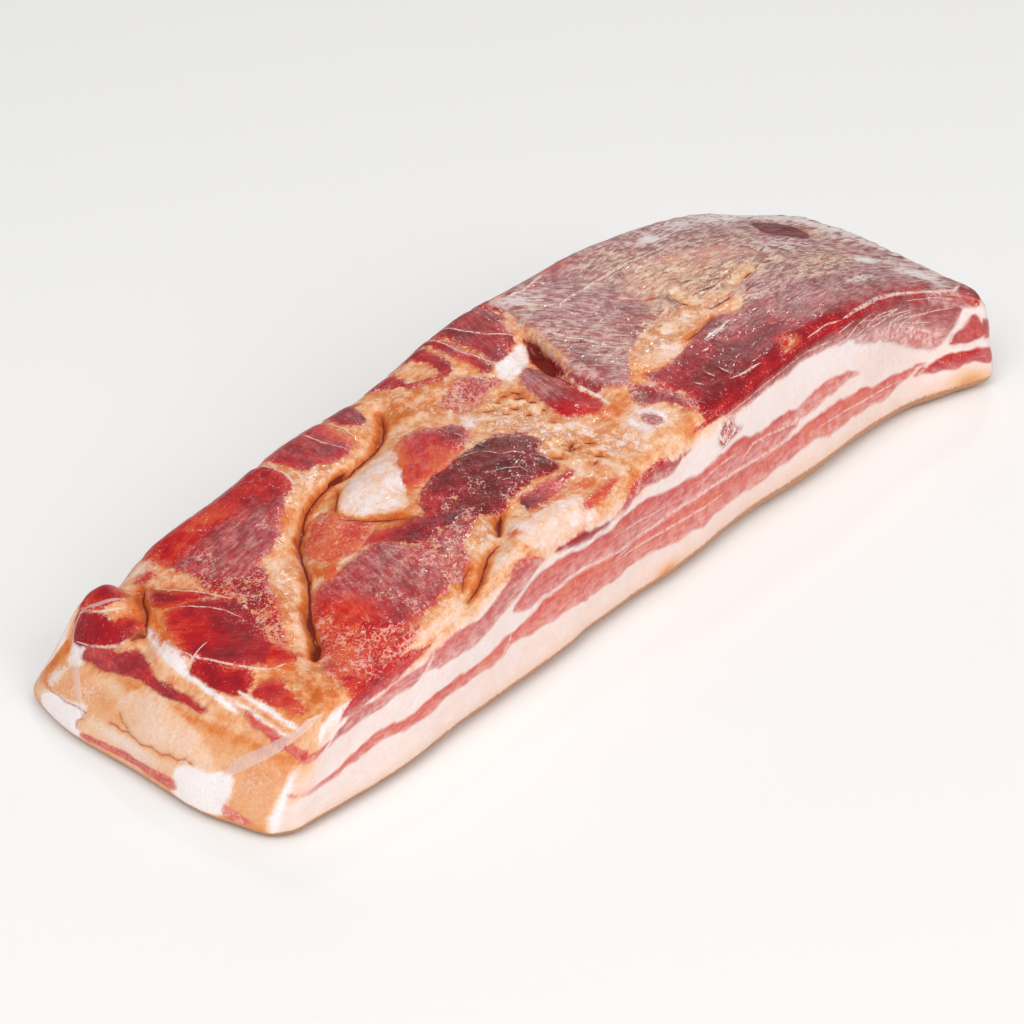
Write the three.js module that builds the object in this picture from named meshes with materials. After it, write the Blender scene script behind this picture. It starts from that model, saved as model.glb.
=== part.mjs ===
// A slab of smoked belly pancetta in tight clear film, lying on its rind.
// One closed solid, in millimetres, +Z up, its origin under the middle of the slab.
//
// The slab starts as a plain block. The block's edges are rounded, its top is given the
// muscles and seams of the meat, and it is bent to the uneven outline of the real slab.
// Places on the block are shares of it from 0 to 1: along from the thin end, across from
// the front long side, and up from the rind.

import * as THREE from 'three';
import { mergeVertices } from 'three/addons/utils/BufferGeometryUtils.js';

// Driving dimensions
const block = { length: 360, width: 106, thickness: 40 };
const edgeRadius = 7;
const facetSize = 5;

// How far across the block's width each long side lies, [along, share of the width]
const longSides = {
  front: [[0, -0.085], [0.11, -0.108], [0.36, -0.09], [0.58, -0.071], [0.8, -0.07],
    [0.9, -0.08], [1, -0.184]],
  back: [[0, 1.024], [0.17, 1.0], [0.36, 1.057], [0.55, 1.038], [0.8, 1.052], [1, 1.01]],
};
const sideLean = 4; // each long side comes in by this from the rind to the top

// How high the top is, [along, share of the block's thickness]
const heights = {
  front: [[0, 0.6], [0.033, 0.86], [0.1, 0.93], [0.22, 1.13], [0.47, 1.2], [0.67, 1.46],
    [0.83, 1.42], [0.94, 1.18], [1, 0.95]],
  middle: [[0, 0.58], [0.033, 0.79], [0.1, 0.93], [0.22, 1.1], [0.47, 1.24], [0.67, 1.42],
    [0.83, 1.4], [0.94, 1.15], [1, 1.02]],
  back: [[0, 0.4], [0.033, 0.75], [0.083, 0.75], [0.13, 0.92], [0.25, 1.05], [0.42, 1.12],
    [0.55, 1.42], [0.67, 1.4], [0.83, 1.26], [0.93, 1.1], [1, 0.96]],
};

// The ends: how far each stands out, [across, mm], how far its top leans in, and the share
// of the length that the bend takes
const ends = {
  near: {
    line: [[0, -4.5], [0.15, -9], [0.65, -11.5], [0.9, -9], [1, -6]],
    lean: 16,
    reach: 0.2,
    leanReach: 0.25,
  },
  far: {
    line: [[0, 3], [0.3, 5], [0.6, 8], [0.75, 5], [0.88, -5], [1, -16]],
    lean: -4,
    reach: 0.2,
    leanReach: 0.2,
  },
};

// The seams between the muscles: valleys in the top along lines of [along, across]
const seams = [
  { // the long seam, from the near corner to the back edge
    line: [[0.09, 0.21], [0.14, 0.41], [0.18, 0.56], [0.22, 0.66], [0.26, 0.7], [0.33, 0.71],
      [0.37, 0.77], [0.39, 0.84]],
    width: 5,
    depth: 3.2,
  },
  { // the short seam that runs out at the front edge
    line: [[0.23, 0.03], [0.27, 0.07], [0.3, 0.11], [0.325, 0.19]],
    width: 4,
    depth: 2.2,
  },
  { // the groove behind the thin end's own muscle
    line: [[0.025, 0.7], [0.04, 0.78], [0.065, 0.87], [0.085, 1.0]],
    width: 5,
    depth: 3.4,
  },
  { // the pit under the shelf
    line: [[0.545, 0.7], [0.537, 0.62], [0.53, 0.5], [0.53, 0.38]],
    width: 6,
    depth: 2.6,
  },
];

// The muscles and fat pads that swell between the seams: [along, across] of the middle,
// half sizes in mm, and the rise
const swells = [
  { middle: [0.03, 0.88], half: [13, 13], rise: 1.5 },
  { middle: [0.1, 0.52], half: [20, 24], rise: 1.6 },
  { middle: [0.18, 0.82], half: [32, 13], rise: 1.8 },
  { middle: [0.2, 0.3], half: [28, 20], rise: 2.6 },
  { middle: [0.29, 0.57], half: [15, 10], rise: 1.4 },
  { middle: [0.37, 0.05], half: [22, 9], rise: 1.8 },
  { middle: [0.4, 0.38], half: [24, 15], rise: 1.8 },
  { middle: [0.46, 0.8], half: [26, 12], rise: 1.4 },
  { middle: [0.505, 0.45], half: [7, 15], rise: 2.4 },
  { middle: [0.525, 0.14], half: [8, 8], rise: 1.0 },
];

// The shelf where the far muscle lies over the rest: its lip as [across, along]
const shelf = {
  lip: [[0.25, 0.56], [0.4, 0.54], [0.6, 0.55], [0.8, 0.57]],
  rise: 3.2,
  slope: 4,
  runOut: 32,
  from: 0.28,
  to: 0.82,
  fade: 0.12,
};

// Long, low waves that keep the sides and ends from being flat, in mm
const waves = { height: 0.8, alongLength: 74, acrossLength: 51, upLength: 62 };

const { clamp, lerp, smoothstep } = THREE.MathUtils;

// A smooth curve through points [place, value], as a function of the place
function curveThrough(points) {
  const runs = points.slice(1).map((point, i) => ({
    from: points[i],
    run: point[0] - points[i][0],
    rise: point[1] - points[i][1],
  }));
  const slopes = points.map((point, i) => {
    const before = runs[Math.max(i - 1, 0)];
    const after = runs[Math.min(i, runs.length - 1)];
    const slopeBefore = before.rise / before.run;
    const slopeAfter = after.rise / after.run;
    return (slopeBefore * after.run + slopeAfter * before.run) / (before.run + after.run);
  });
  const first = points[0][0];
  const last = points[points.length - 1][0];
  return (where) => {
    const place = clamp(where, first, last);
    const i = runs.findLastIndex((piece) => piece.from[0] <= place);
    const { from, run, rise } = runs[i];
    const t = (place - from[0]) / run;
    const bend = t * (1 - t) * ((1 - t) * slopes[i] - t * slopes[i + 1]) * run;
    return from[1] + t * t * (3 - 2 * t) * rise + bend;
  };
}

// How far a point of the top is from a line of places, in mm on the block
function distanceToLine(along, across, line) {
  const point = new THREE.Vector3(along * block.length, across * block.width, 0);
  const corners = line.map(([a, c]) => new THREE.Vector3(a * block.length, c * block.width, 0));
  const nearest = new THREE.Vector3();
  const distances = corners.slice(1).map((corner, i) => {
    new THREE.Line3(corners[i], corner).closestPointToPoint(point, true, nearest);
    return nearest.distanceTo(point);
  });
  return Math.min(...distances);
}

const bell = (distance) => Math.exp(-distance * distance);

// The valleys, swells and shelf of the top, in mm above or below its plain height
const shelfLip = curveThrough(shelf.lip);

function reliefOfTop(along, across) {
  let relief = 0;
  for (const seam of seams) {
    relief -= seam.depth * bell(distanceToLine(along, across, seam.line) / seam.width);
  }
  for (const swell of swells) {
    const alongSwell = (along - swell.middle[0]) * block.length / swell.half[0];
    const acrossSwell = (across - swell.middle[1]) * block.width / swell.half[1];
    relief += swell.rise * bell(Math.hypot(alongSwell, acrossSwell));
  }
  const pastLip = (along - shelfLip(across)) * block.length;
  const underShelf = smoothstep(across, shelf.from - shelf.fade, shelf.from + shelf.fade)
    * (1 - smoothstep(across, shelf.to - shelf.fade, shelf.to + shelf.fade));
  const step = smoothstep(pastLip, -shelf.slope / 2, shelf.slope / 2)
    * Math.exp(-Math.max(pastLip, 0) / shelf.runOut);
  return relief + shelf.rise * step * underShelf;
}

const frontLine = curveThrough(longSides.front);
const backLine = curveThrough(longSides.back);
const frontHeight = curveThrough(heights.front);
const middleHeight = curveThrough(heights.middle);
const backHeight = curveThrough(heights.back);
const nearLine = curveThrough(ends.near.line);
const farLine = curveThrough(ends.far.line);

// The height of the top, curved from its front edge over its middle to its back edge
function heightOfTop(along, across) {
  const front = frontHeight(along) * (1 - across) * (1 - 2 * across);
  const middle = middleHeight(along) * 4 * across * (1 - across);
  const back = backHeight(along) * across * (2 * across - 1);
  return block.thickness * (front + middle + back);
}

const waveAt = (turns) => Math.cos(2 * Math.PI * turns);

// How much of an end's bend reaches a place that is this share of the length from it
const bendAt = (fromEnd, reach) => (1 - clamp(fromEnd / reach, 0, 1)) ** 2;

// Rounds the block's edges: every point goes out to the radius round the inner block
function roundEdges(point) {
  const middle = new THREE.Vector3(block.length, block.width, block.thickness).multiplyScalar(0.5);
  const inner = middle.clone().subScalar(edgeRadius);
  const fromMiddle = point.clone().sub(middle);
  const core = fromMiddle.clone().clamp(inner.clone().negate(), inner);
  const out = fromMiddle.sub(core).setLength(edgeRadius);
  return middle.add(core).add(out);
}

// Bends one point of the block to the slab
function bend(blockPoint) {
  const point = roundEdges(blockPoint);
  const along = point.x / block.length;
  const across = point.y / block.width;
  const up = point.z / block.thickness;
  const { near, far } = ends;

  let x = point.x;
  x += near.lean * up ** 1.5 * bendAt(along, near.leanReach);
  x += far.lean * up * bendAt(1 - along, far.leanReach);
  x += nearLine(across) * bendAt(along, near.reach);
  x += farLine(across) * bendAt(1 - along, far.reach);
  x += waves.height * waveAt(point.y / waves.acrossLength) * waveAt(point.z / waves.upLength);

  const side = x / block.length;
  const front = frontLine(side) * block.width + sideLean * up;
  const back = backLine(side) * block.width - sideLean * up;
  let y = lerp(front, back, across);
  y += waves.height * waveAt(point.x / waves.alongLength) * waveAt(point.z / waves.upLength);

  // the relief fades down the sides, so that it lies on the top only
  const z = up * heightOfTop(along, across) + up ** 4 * reliefOfTop(along, across);
  return new THREE.Vector3(x, y, z);
}

function slabGeometry() {
  const faces = (size) => Math.round(size / facetSize);
  const box = new THREE.BoxGeometry(block.length, block.width, block.thickness,
    faces(block.length), faces(block.width), faces(block.thickness));
  box.translate(block.length / 2, block.width / 2, block.thickness / 2);
  box.deleteAttribute('normal');
  box.deleteAttribute('uv');
  const slab = mergeVertices(box);
  const places = slab.attributes.position;
  const point = new THREE.Vector3();
  for (let i = 0; i < places.count; i += 1) {
    const bent = bend(point.fromBufferAttribute(places, i));
    places.setXYZ(i, bent.x, bent.y, bent.z);
  }
  slab.computeVertexNormals();
  slab.computeBoundingBox();
  return slab;
}

function makeSlab() {
  const smokedMeat = new THREE.MeshStandardMaterial({
    color: 0xb4564a,
    roughness: 0.42,
    metalness: 0,
  });
  const slab = new THREE.Mesh(slabGeometry(), smokedMeat);
  slab.name = 'pancetta_slab';
  const middle = slab.geometry.boundingBox.getCenter(new THREE.Vector3());
  slab.position.set(-middle.x, -middle.y, -slab.geometry.boundingBox.min.z);
  return slab;
}

const pancetta = new THREE.Group();
pancetta.add(makeSlab());

export default pancetta;
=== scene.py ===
import math
import bpy
import numpy as np
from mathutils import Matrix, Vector, geometry


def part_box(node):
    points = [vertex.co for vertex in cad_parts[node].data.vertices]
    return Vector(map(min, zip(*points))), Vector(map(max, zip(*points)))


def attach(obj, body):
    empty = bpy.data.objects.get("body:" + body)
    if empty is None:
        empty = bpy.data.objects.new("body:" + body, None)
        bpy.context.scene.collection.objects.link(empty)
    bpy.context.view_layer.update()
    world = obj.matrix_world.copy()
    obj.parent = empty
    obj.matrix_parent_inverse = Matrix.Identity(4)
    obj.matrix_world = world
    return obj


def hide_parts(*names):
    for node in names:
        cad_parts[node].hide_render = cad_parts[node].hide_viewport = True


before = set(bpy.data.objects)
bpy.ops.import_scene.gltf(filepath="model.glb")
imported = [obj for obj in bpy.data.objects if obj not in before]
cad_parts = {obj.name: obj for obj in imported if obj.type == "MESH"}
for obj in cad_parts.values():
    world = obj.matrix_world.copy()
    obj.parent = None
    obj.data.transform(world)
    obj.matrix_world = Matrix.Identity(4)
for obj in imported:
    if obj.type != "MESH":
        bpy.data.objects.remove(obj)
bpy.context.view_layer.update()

mm = 0.001
tiny = 1e-9  # stands in for a length of 0
slabNode = "pancetta_slab"


# curves and noise

def curveThrough(points):
    # smooth curve through (place, value) points
    places, values = np.array(points, float).T
    runs = np.diff(places)
    steps = np.diff(values) / runs
    slopes = np.empty(len(places))
    slopes[0], slopes[-1] = steps[0], steps[-1]
    slopes[1:-1] = (steps[:-1] * runs[1:] + steps[1:] * runs[:-1]) / (runs[1:] + runs[:-1])

    def value(place):
        place = np.clip(place, places[0], places[-1])
        i = np.clip(np.searchsorted(places, place, side="right") - 1, 0, len(runs) - 1)
        t = (place - places[i]) / runs[i]
        bend = t * (1 - t) * ((1 - t) * slopes[i] - t * slopes[i + 1]) * runs[i]
        return values[i] + t * t * (3 - 2 * t) * (values[i + 1] - values[i]) + bend

    return value


def smoothStep(value, low, high):
    t = np.clip((value - low) / (high - low), 0, 1)
    return t * t * (3 - 2 * t)


def bell(distance):
    return np.exp(-distance * distance)


noiseCells, noiseSeed = 32, 7
noiseTable = np.random.default_rng(noiseSeed).uniform(-1, 1, (noiseCells,) * 3)


def softNoise(places, size, shift=0.0):
    # smooth noise from -1 to 1, its lumps about this size
    cell = places / size + shift
    low = np.floor(cell).astype(int)
    part = cell - low
    part = part * part * (3 - 2 * part)
    total = np.zeros(len(places))
    for corner in np.ndindex(2, 2, 2):
        weight = np.prod(np.where(corner, part, 1 - part), axis=1)
        x, y, z = ((low + corner) % noiseCells).T
        total += weight * noiseTable[x, y, z]
    return total


# The slab's form: a plain block, given relief and bent, as the CAD solid is.
# Places on the block are in mm: along from the thin end, across from the front, up from the rind.

block = {
    "length": 360, "width": 106, "thickness": 40, "edgeRadius": 7,
    # how far across the block's width each long side lies, (along, share of the width)
    "front": [(0, -0.085), (0.11, -0.108), (0.36, -0.09), (0.58, -0.071), (0.8, -0.07),
              (0.9, -0.08), (1, -0.184)],
    "back": [(0, 1.024), (0.17, 1.0), (0.36, 1.057), (0.55, 1.038), (0.8, 1.052), (1, 1.01)],
    "sideLean": 4,
    # how high the top is, (along, share of the thickness)
    "frontHeight": [(0, 0.6), (0.033, 0.86), (0.1, 0.93), (0.22, 1.13), (0.47, 1.2),
                    (0.67, 1.46), (0.83, 1.42), (0.94, 1.18), (1, 0.95)],
    "middleHeight": [(0, 0.58), (0.033, 0.79), (0.1, 0.93), (0.22, 1.1), (0.47, 1.24),
                     (0.67, 1.42), (0.83, 1.4), (0.94, 1.15), (1, 1.02)],
    "backHeight": [(0, 0.4), (0.033, 0.75), (0.083, 0.75), (0.13, 0.92), (0.25, 1.05),
                   (0.42, 1.12), (0.55, 1.42), (0.67, 1.4), (0.83, 1.26), (0.93, 1.1),
                   (1, 0.96)],
    "nearEnd": [(0, -4.5), (0.15, -9), (0.65, -11.5), (0.9, -9), (1, -6)],
    "farEnd": [(0, 3), (0.3, 5), (0.6, 8), (0.75, 5), (0.88, -5), (1, -16)],
    "nearLean": 16, "farLean": -4, "endReach": 0.2, "nearLeanReach": 0.25,
    "leanCurve": 1.5, "endCurve": 2, "reliefCurve": 4,  # powers: how late each of these sets in
    "waveHeight": 0.8, "waveAlong": 74, "waveAcross": 51, "waveUp": 62,
}

relief = {
    # (line of (along, across) places, width and depth of the valley in mm)
    "seams": [
        ([(0.09, 0.21), (0.14, 0.41), (0.18, 0.56), (0.22, 0.66), (0.26, 0.7), (0.33, 0.71),
          (0.37, 0.77), (0.39, 0.84)], 5, 3.2),
        ([(0.23, 0.03), (0.27, 0.07), (0.3, 0.11), (0.325, 0.19)], 4, 2.2),
        ([(0.025, 0.7), (0.04, 0.78), (0.065, 0.87), (0.085, 1.0)], 5, 3.4),
        ([(0.545, 0.7), (0.537, 0.62), (0.53, 0.5), (0.53, 0.38)], 6, 2.6),
    ],
    # (along, across) of the middle, half sizes in mm, rise
    "swells": [
        (0.03, 0.88, 13, 13, 1.5), (0.1, 0.52, 20, 24, 1.6), (0.18, 0.82, 32, 13, 1.8),
        (0.2, 0.3, 28, 20, 2.6), (0.29, 0.57, 15, 10, 1.4), (0.37, 0.05, 22, 9, 1.8),
        (0.4, 0.38, 24, 15, 1.8), (0.46, 0.8, 26, 12, 1.4), (0.505, 0.45, 7, 15, 2.4),
        (0.525, 0.14, 8, 8, 1.0),
    ],
    "shelfLip": [(0.25, 0.56), (0.4, 0.54), (0.6, 0.55), (0.8, 0.57)],
    "shelfRise": 3.2, "shelfSlope": 4, "shelfRunOut": 32,
    "shelfFrom": 0.28, "shelfTo": 0.82, "shelfFade": 0.12,
}

blockSize = np.array([block["length"], block["width"], block["thickness"]], float)


def distanceToLine(x, y, line):
    # to a chain of straight pieces, in mm
    nearest = np.full(len(x), np.inf)
    for (ax, ay), (bx, by) in zip(line[:-1], line[1:]):
        runX, runY = bx - ax, by - ay
        t = np.clip(((x - ax) * runX + (y - ay) * runY) / (runX ** 2 + runY ** 2), 0, 1)
        nearest = np.minimum(nearest, np.hypot(x - ax - t * runX, y - ay - t * runY))
    return nearest


def reliefOfTop(along, across):
    x, y = along * blockSize[0], across * blockSize[1]
    rise = np.zeros(len(along))
    for line, width, depth in relief["seams"]:
        places = [(a * blockSize[0], c * blockSize[1]) for a, c in line]
        rise -= depth * bell(distanceToLine(x, y, places) / width)
    for middleAlong, middleAcross, halfX, halfY, swell in relief["swells"]:
        offX = (x - middleAlong * blockSize[0]) / halfX
        offY = (y - middleAcross * blockSize[1]) / halfY
        rise += swell * bell(np.hypot(offX, offY))
    pastLip = x - curveThrough(relief["shelfLip"])(across) * blockSize[0]
    fade = relief["shelfFade"]
    under = smoothStep(across, relief["shelfFrom"] - fade, relief["shelfFrom"] + fade)
    under *= 1 - smoothStep(across, relief["shelfTo"] - fade, relief["shelfTo"] + fade)
    halfSlope = relief["shelfSlope"] / 2
    step = smoothStep(pastLip, -halfSlope, halfSlope)
    step *= np.exp(-np.maximum(pastLip, 0) / relief["shelfRunOut"])
    return rise + relief["shelfRise"] * step * under


def roundEdges(places):
    half = blockSize / 2
    inner = half - block["edgeRadius"]
    fromMiddle = places - half
    core = np.clip(fromMiddle, -inner, inner)
    out = fromMiddle - core
    reach = np.linalg.norm(out, axis=1, keepdims=True)
    return half + core + out / np.maximum(reach, tiny) * block["edgeRadius"]


def bendBlock(places):
    # block places in mm to the slab's places in mm, the same form as the CAD solid's
    p = roundEdges(places)
    along, across, up = (p / blockSize).T
    b = block

    def bendAt(fromEnd, reach):
        return (1 - np.clip(fromEnd / reach, 0, 1)) ** b["endCurve"]

    def wave(turns):
        return np.cos(2 * np.pi * turns)

    x = p[:, 0].copy()
    x += b["nearLean"] * up ** b["leanCurve"] * bendAt(along, b["nearLeanReach"])
    x += b["farLean"] * up * bendAt(1 - along, b["endReach"])
    x += curveThrough(b["nearEnd"])(across) * bendAt(along, b["endReach"])
    x += curveThrough(b["farEnd"])(across) * bendAt(1 - along, b["endReach"])
    x += b["waveHeight"] * wave(p[:, 1] / b["waveAcross"]) * wave(p[:, 2] / b["waveUp"])

    side = x / b["length"]
    front = curveThrough(b["front"])(side) * b["width"] + b["sideLean"] * up
    back = curveThrough(b["back"])(side) * b["width"] - b["sideLean"] * up
    y = front + (back - front) * across
    y += b["waveHeight"] * wave(p[:, 0] / b["waveAlong"]) * wave(p[:, 2] / b["waveUp"])

    height = curveThrough(b["frontHeight"])(along) * (1 - across) * (1 - 2 * across)
    height += curveThrough(b["middleHeight"])(along) * 4 * across * (1 - across)
    height += curveThrough(b["backHeight"])(along) * across * (2 * across - 1)
    z = up * b["thickness"] * height + up ** b["reliefCurve"] * reliefOfTop(along, across)
    return np.stack([x, y, z], axis=1)


# The skin of the block as one closed mesh, fine where the slab is seen

skin = {
    "alongSteps": [(0, 205, 0.78), (205, 360, 1.15)],  # (from, to, step) in mm
    "acrossStep": 0.9,
    "upStep": 1.0,
    "rindRings": [2.5, 5, 8], "ringStep": 3,  # rings of points under the slab, in from its edge
    "rindStep": 6,
    "joinWithin": 1e-4,
}


def stepsOf(low, high, step):
    return np.linspace(low, high, int(round((high - low) / step)) + 1)


def blockSkin():
    xs = np.unique(np.concatenate([stepsOf(*s) for s in skin["alongSteps"]]))
    ys = stepsOf(0, blockSize[1], skin["acrossStep"])
    zs = stepsOf(0, blockSize[2], skin["upStep"])
    nx, ny, nz = len(xs), len(ys), len(zs)
    number = np.arange(nx * ny * nz).reshape(nx, ny, nz)

    def sheet(corners, turned):
        # quads of a sheet of lattice numbers, facing out
        a, b, c, d = corners[:-1, :-1], corners[1:, :-1], corners[1:, 1:], corners[:-1, 1:]
        quads = np.stack([a, b, c, d], axis=-1).reshape(-1, 4)
        return quads[:, ::-1] if turned else quads

    quads = np.concatenate([
        sheet(number[:, :, -1], False),   # top
        sheet(number[:, 0, :], False),    # front
        sheet(number[:, -1, :], True),    # back
        sheet(number[0, :, :], True),     # near end
        sheet(number[-1, :, :], False),   # far end
    ])
    used, renumbered = np.unique(quads, return_inverse=True)
    quads = renumbered.reshape(-1, 4)
    i, rest = np.divmod(used, ny * nz)
    j, k = np.divmod(rest, nz)
    places = np.stack([xs[i], ys[j], zs[k]], axis=1)

    # the rind below: a coarser net inside the loop of the lowest points
    loop = np.concatenate([number[:-1, 0, 0], number[-1, :-1, 0],
                           number[:0:-1, -1, 0], number[0, :0:-1, 0]])
    loop = np.searchsorted(used, loop)
    inside = []
    for inset in skin["rindRings"]:
        endX, endY = blockSize[:2] - inset
        inside += [(x, y) for x in stepsOf(inset, endX, skin["ringStep"]) for y in (inset, endY)]
        inside += [(x, y) for y in stepsOf(inset, endY, skin["ringStep"])[1:-1]
                   for x in (inset, endX)]
    last = skin["rindRings"][-1] + skin["rindStep"]
    inside += [(x, y) for x in stepsOf(last, blockSize[0] - last, skin["rindStep"])
               for y in stepsOf(last, blockSize[1] - last, skin["rindStep"])]
    flat = [Vector((places[n][0], places[n][1])) for n in loop]
    flat += [Vector(place) for place in inside]
    edges = [(n, (n + 1) % len(loop)) for n in range(len(loop))]
    made = geometry.delaunay_2d_cdt(flat, edges, [], 1, skin["joinWithin"])
    madePoints, triangles, madeFrom = made[0], made[2], made[3]
    numbers = []
    extra = []
    for n, sources in enumerate(madeFrom):
        source = sources[0] if sources else -1
        if 0 <= source < len(loop):
            numbers.append(int(loop[source]))
        else:
            numbers.append(len(places) + len(extra))
            extra.append((madePoints[n].x, madePoints[n].y, 0.0))
    places = np.concatenate([places, np.array(extra)])
    rind = [[numbers[n] for n in triangle][::-1] for triangle in triangles]
    return places, quads.tolist() + rind


blockPlaces, skinFaces = blockSkin()
slabPlaces = bendBlock(blockPlaces)
print(f"slab skin: {len(blockPlaces)} points, {len(skinFaces)} faces")


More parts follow.
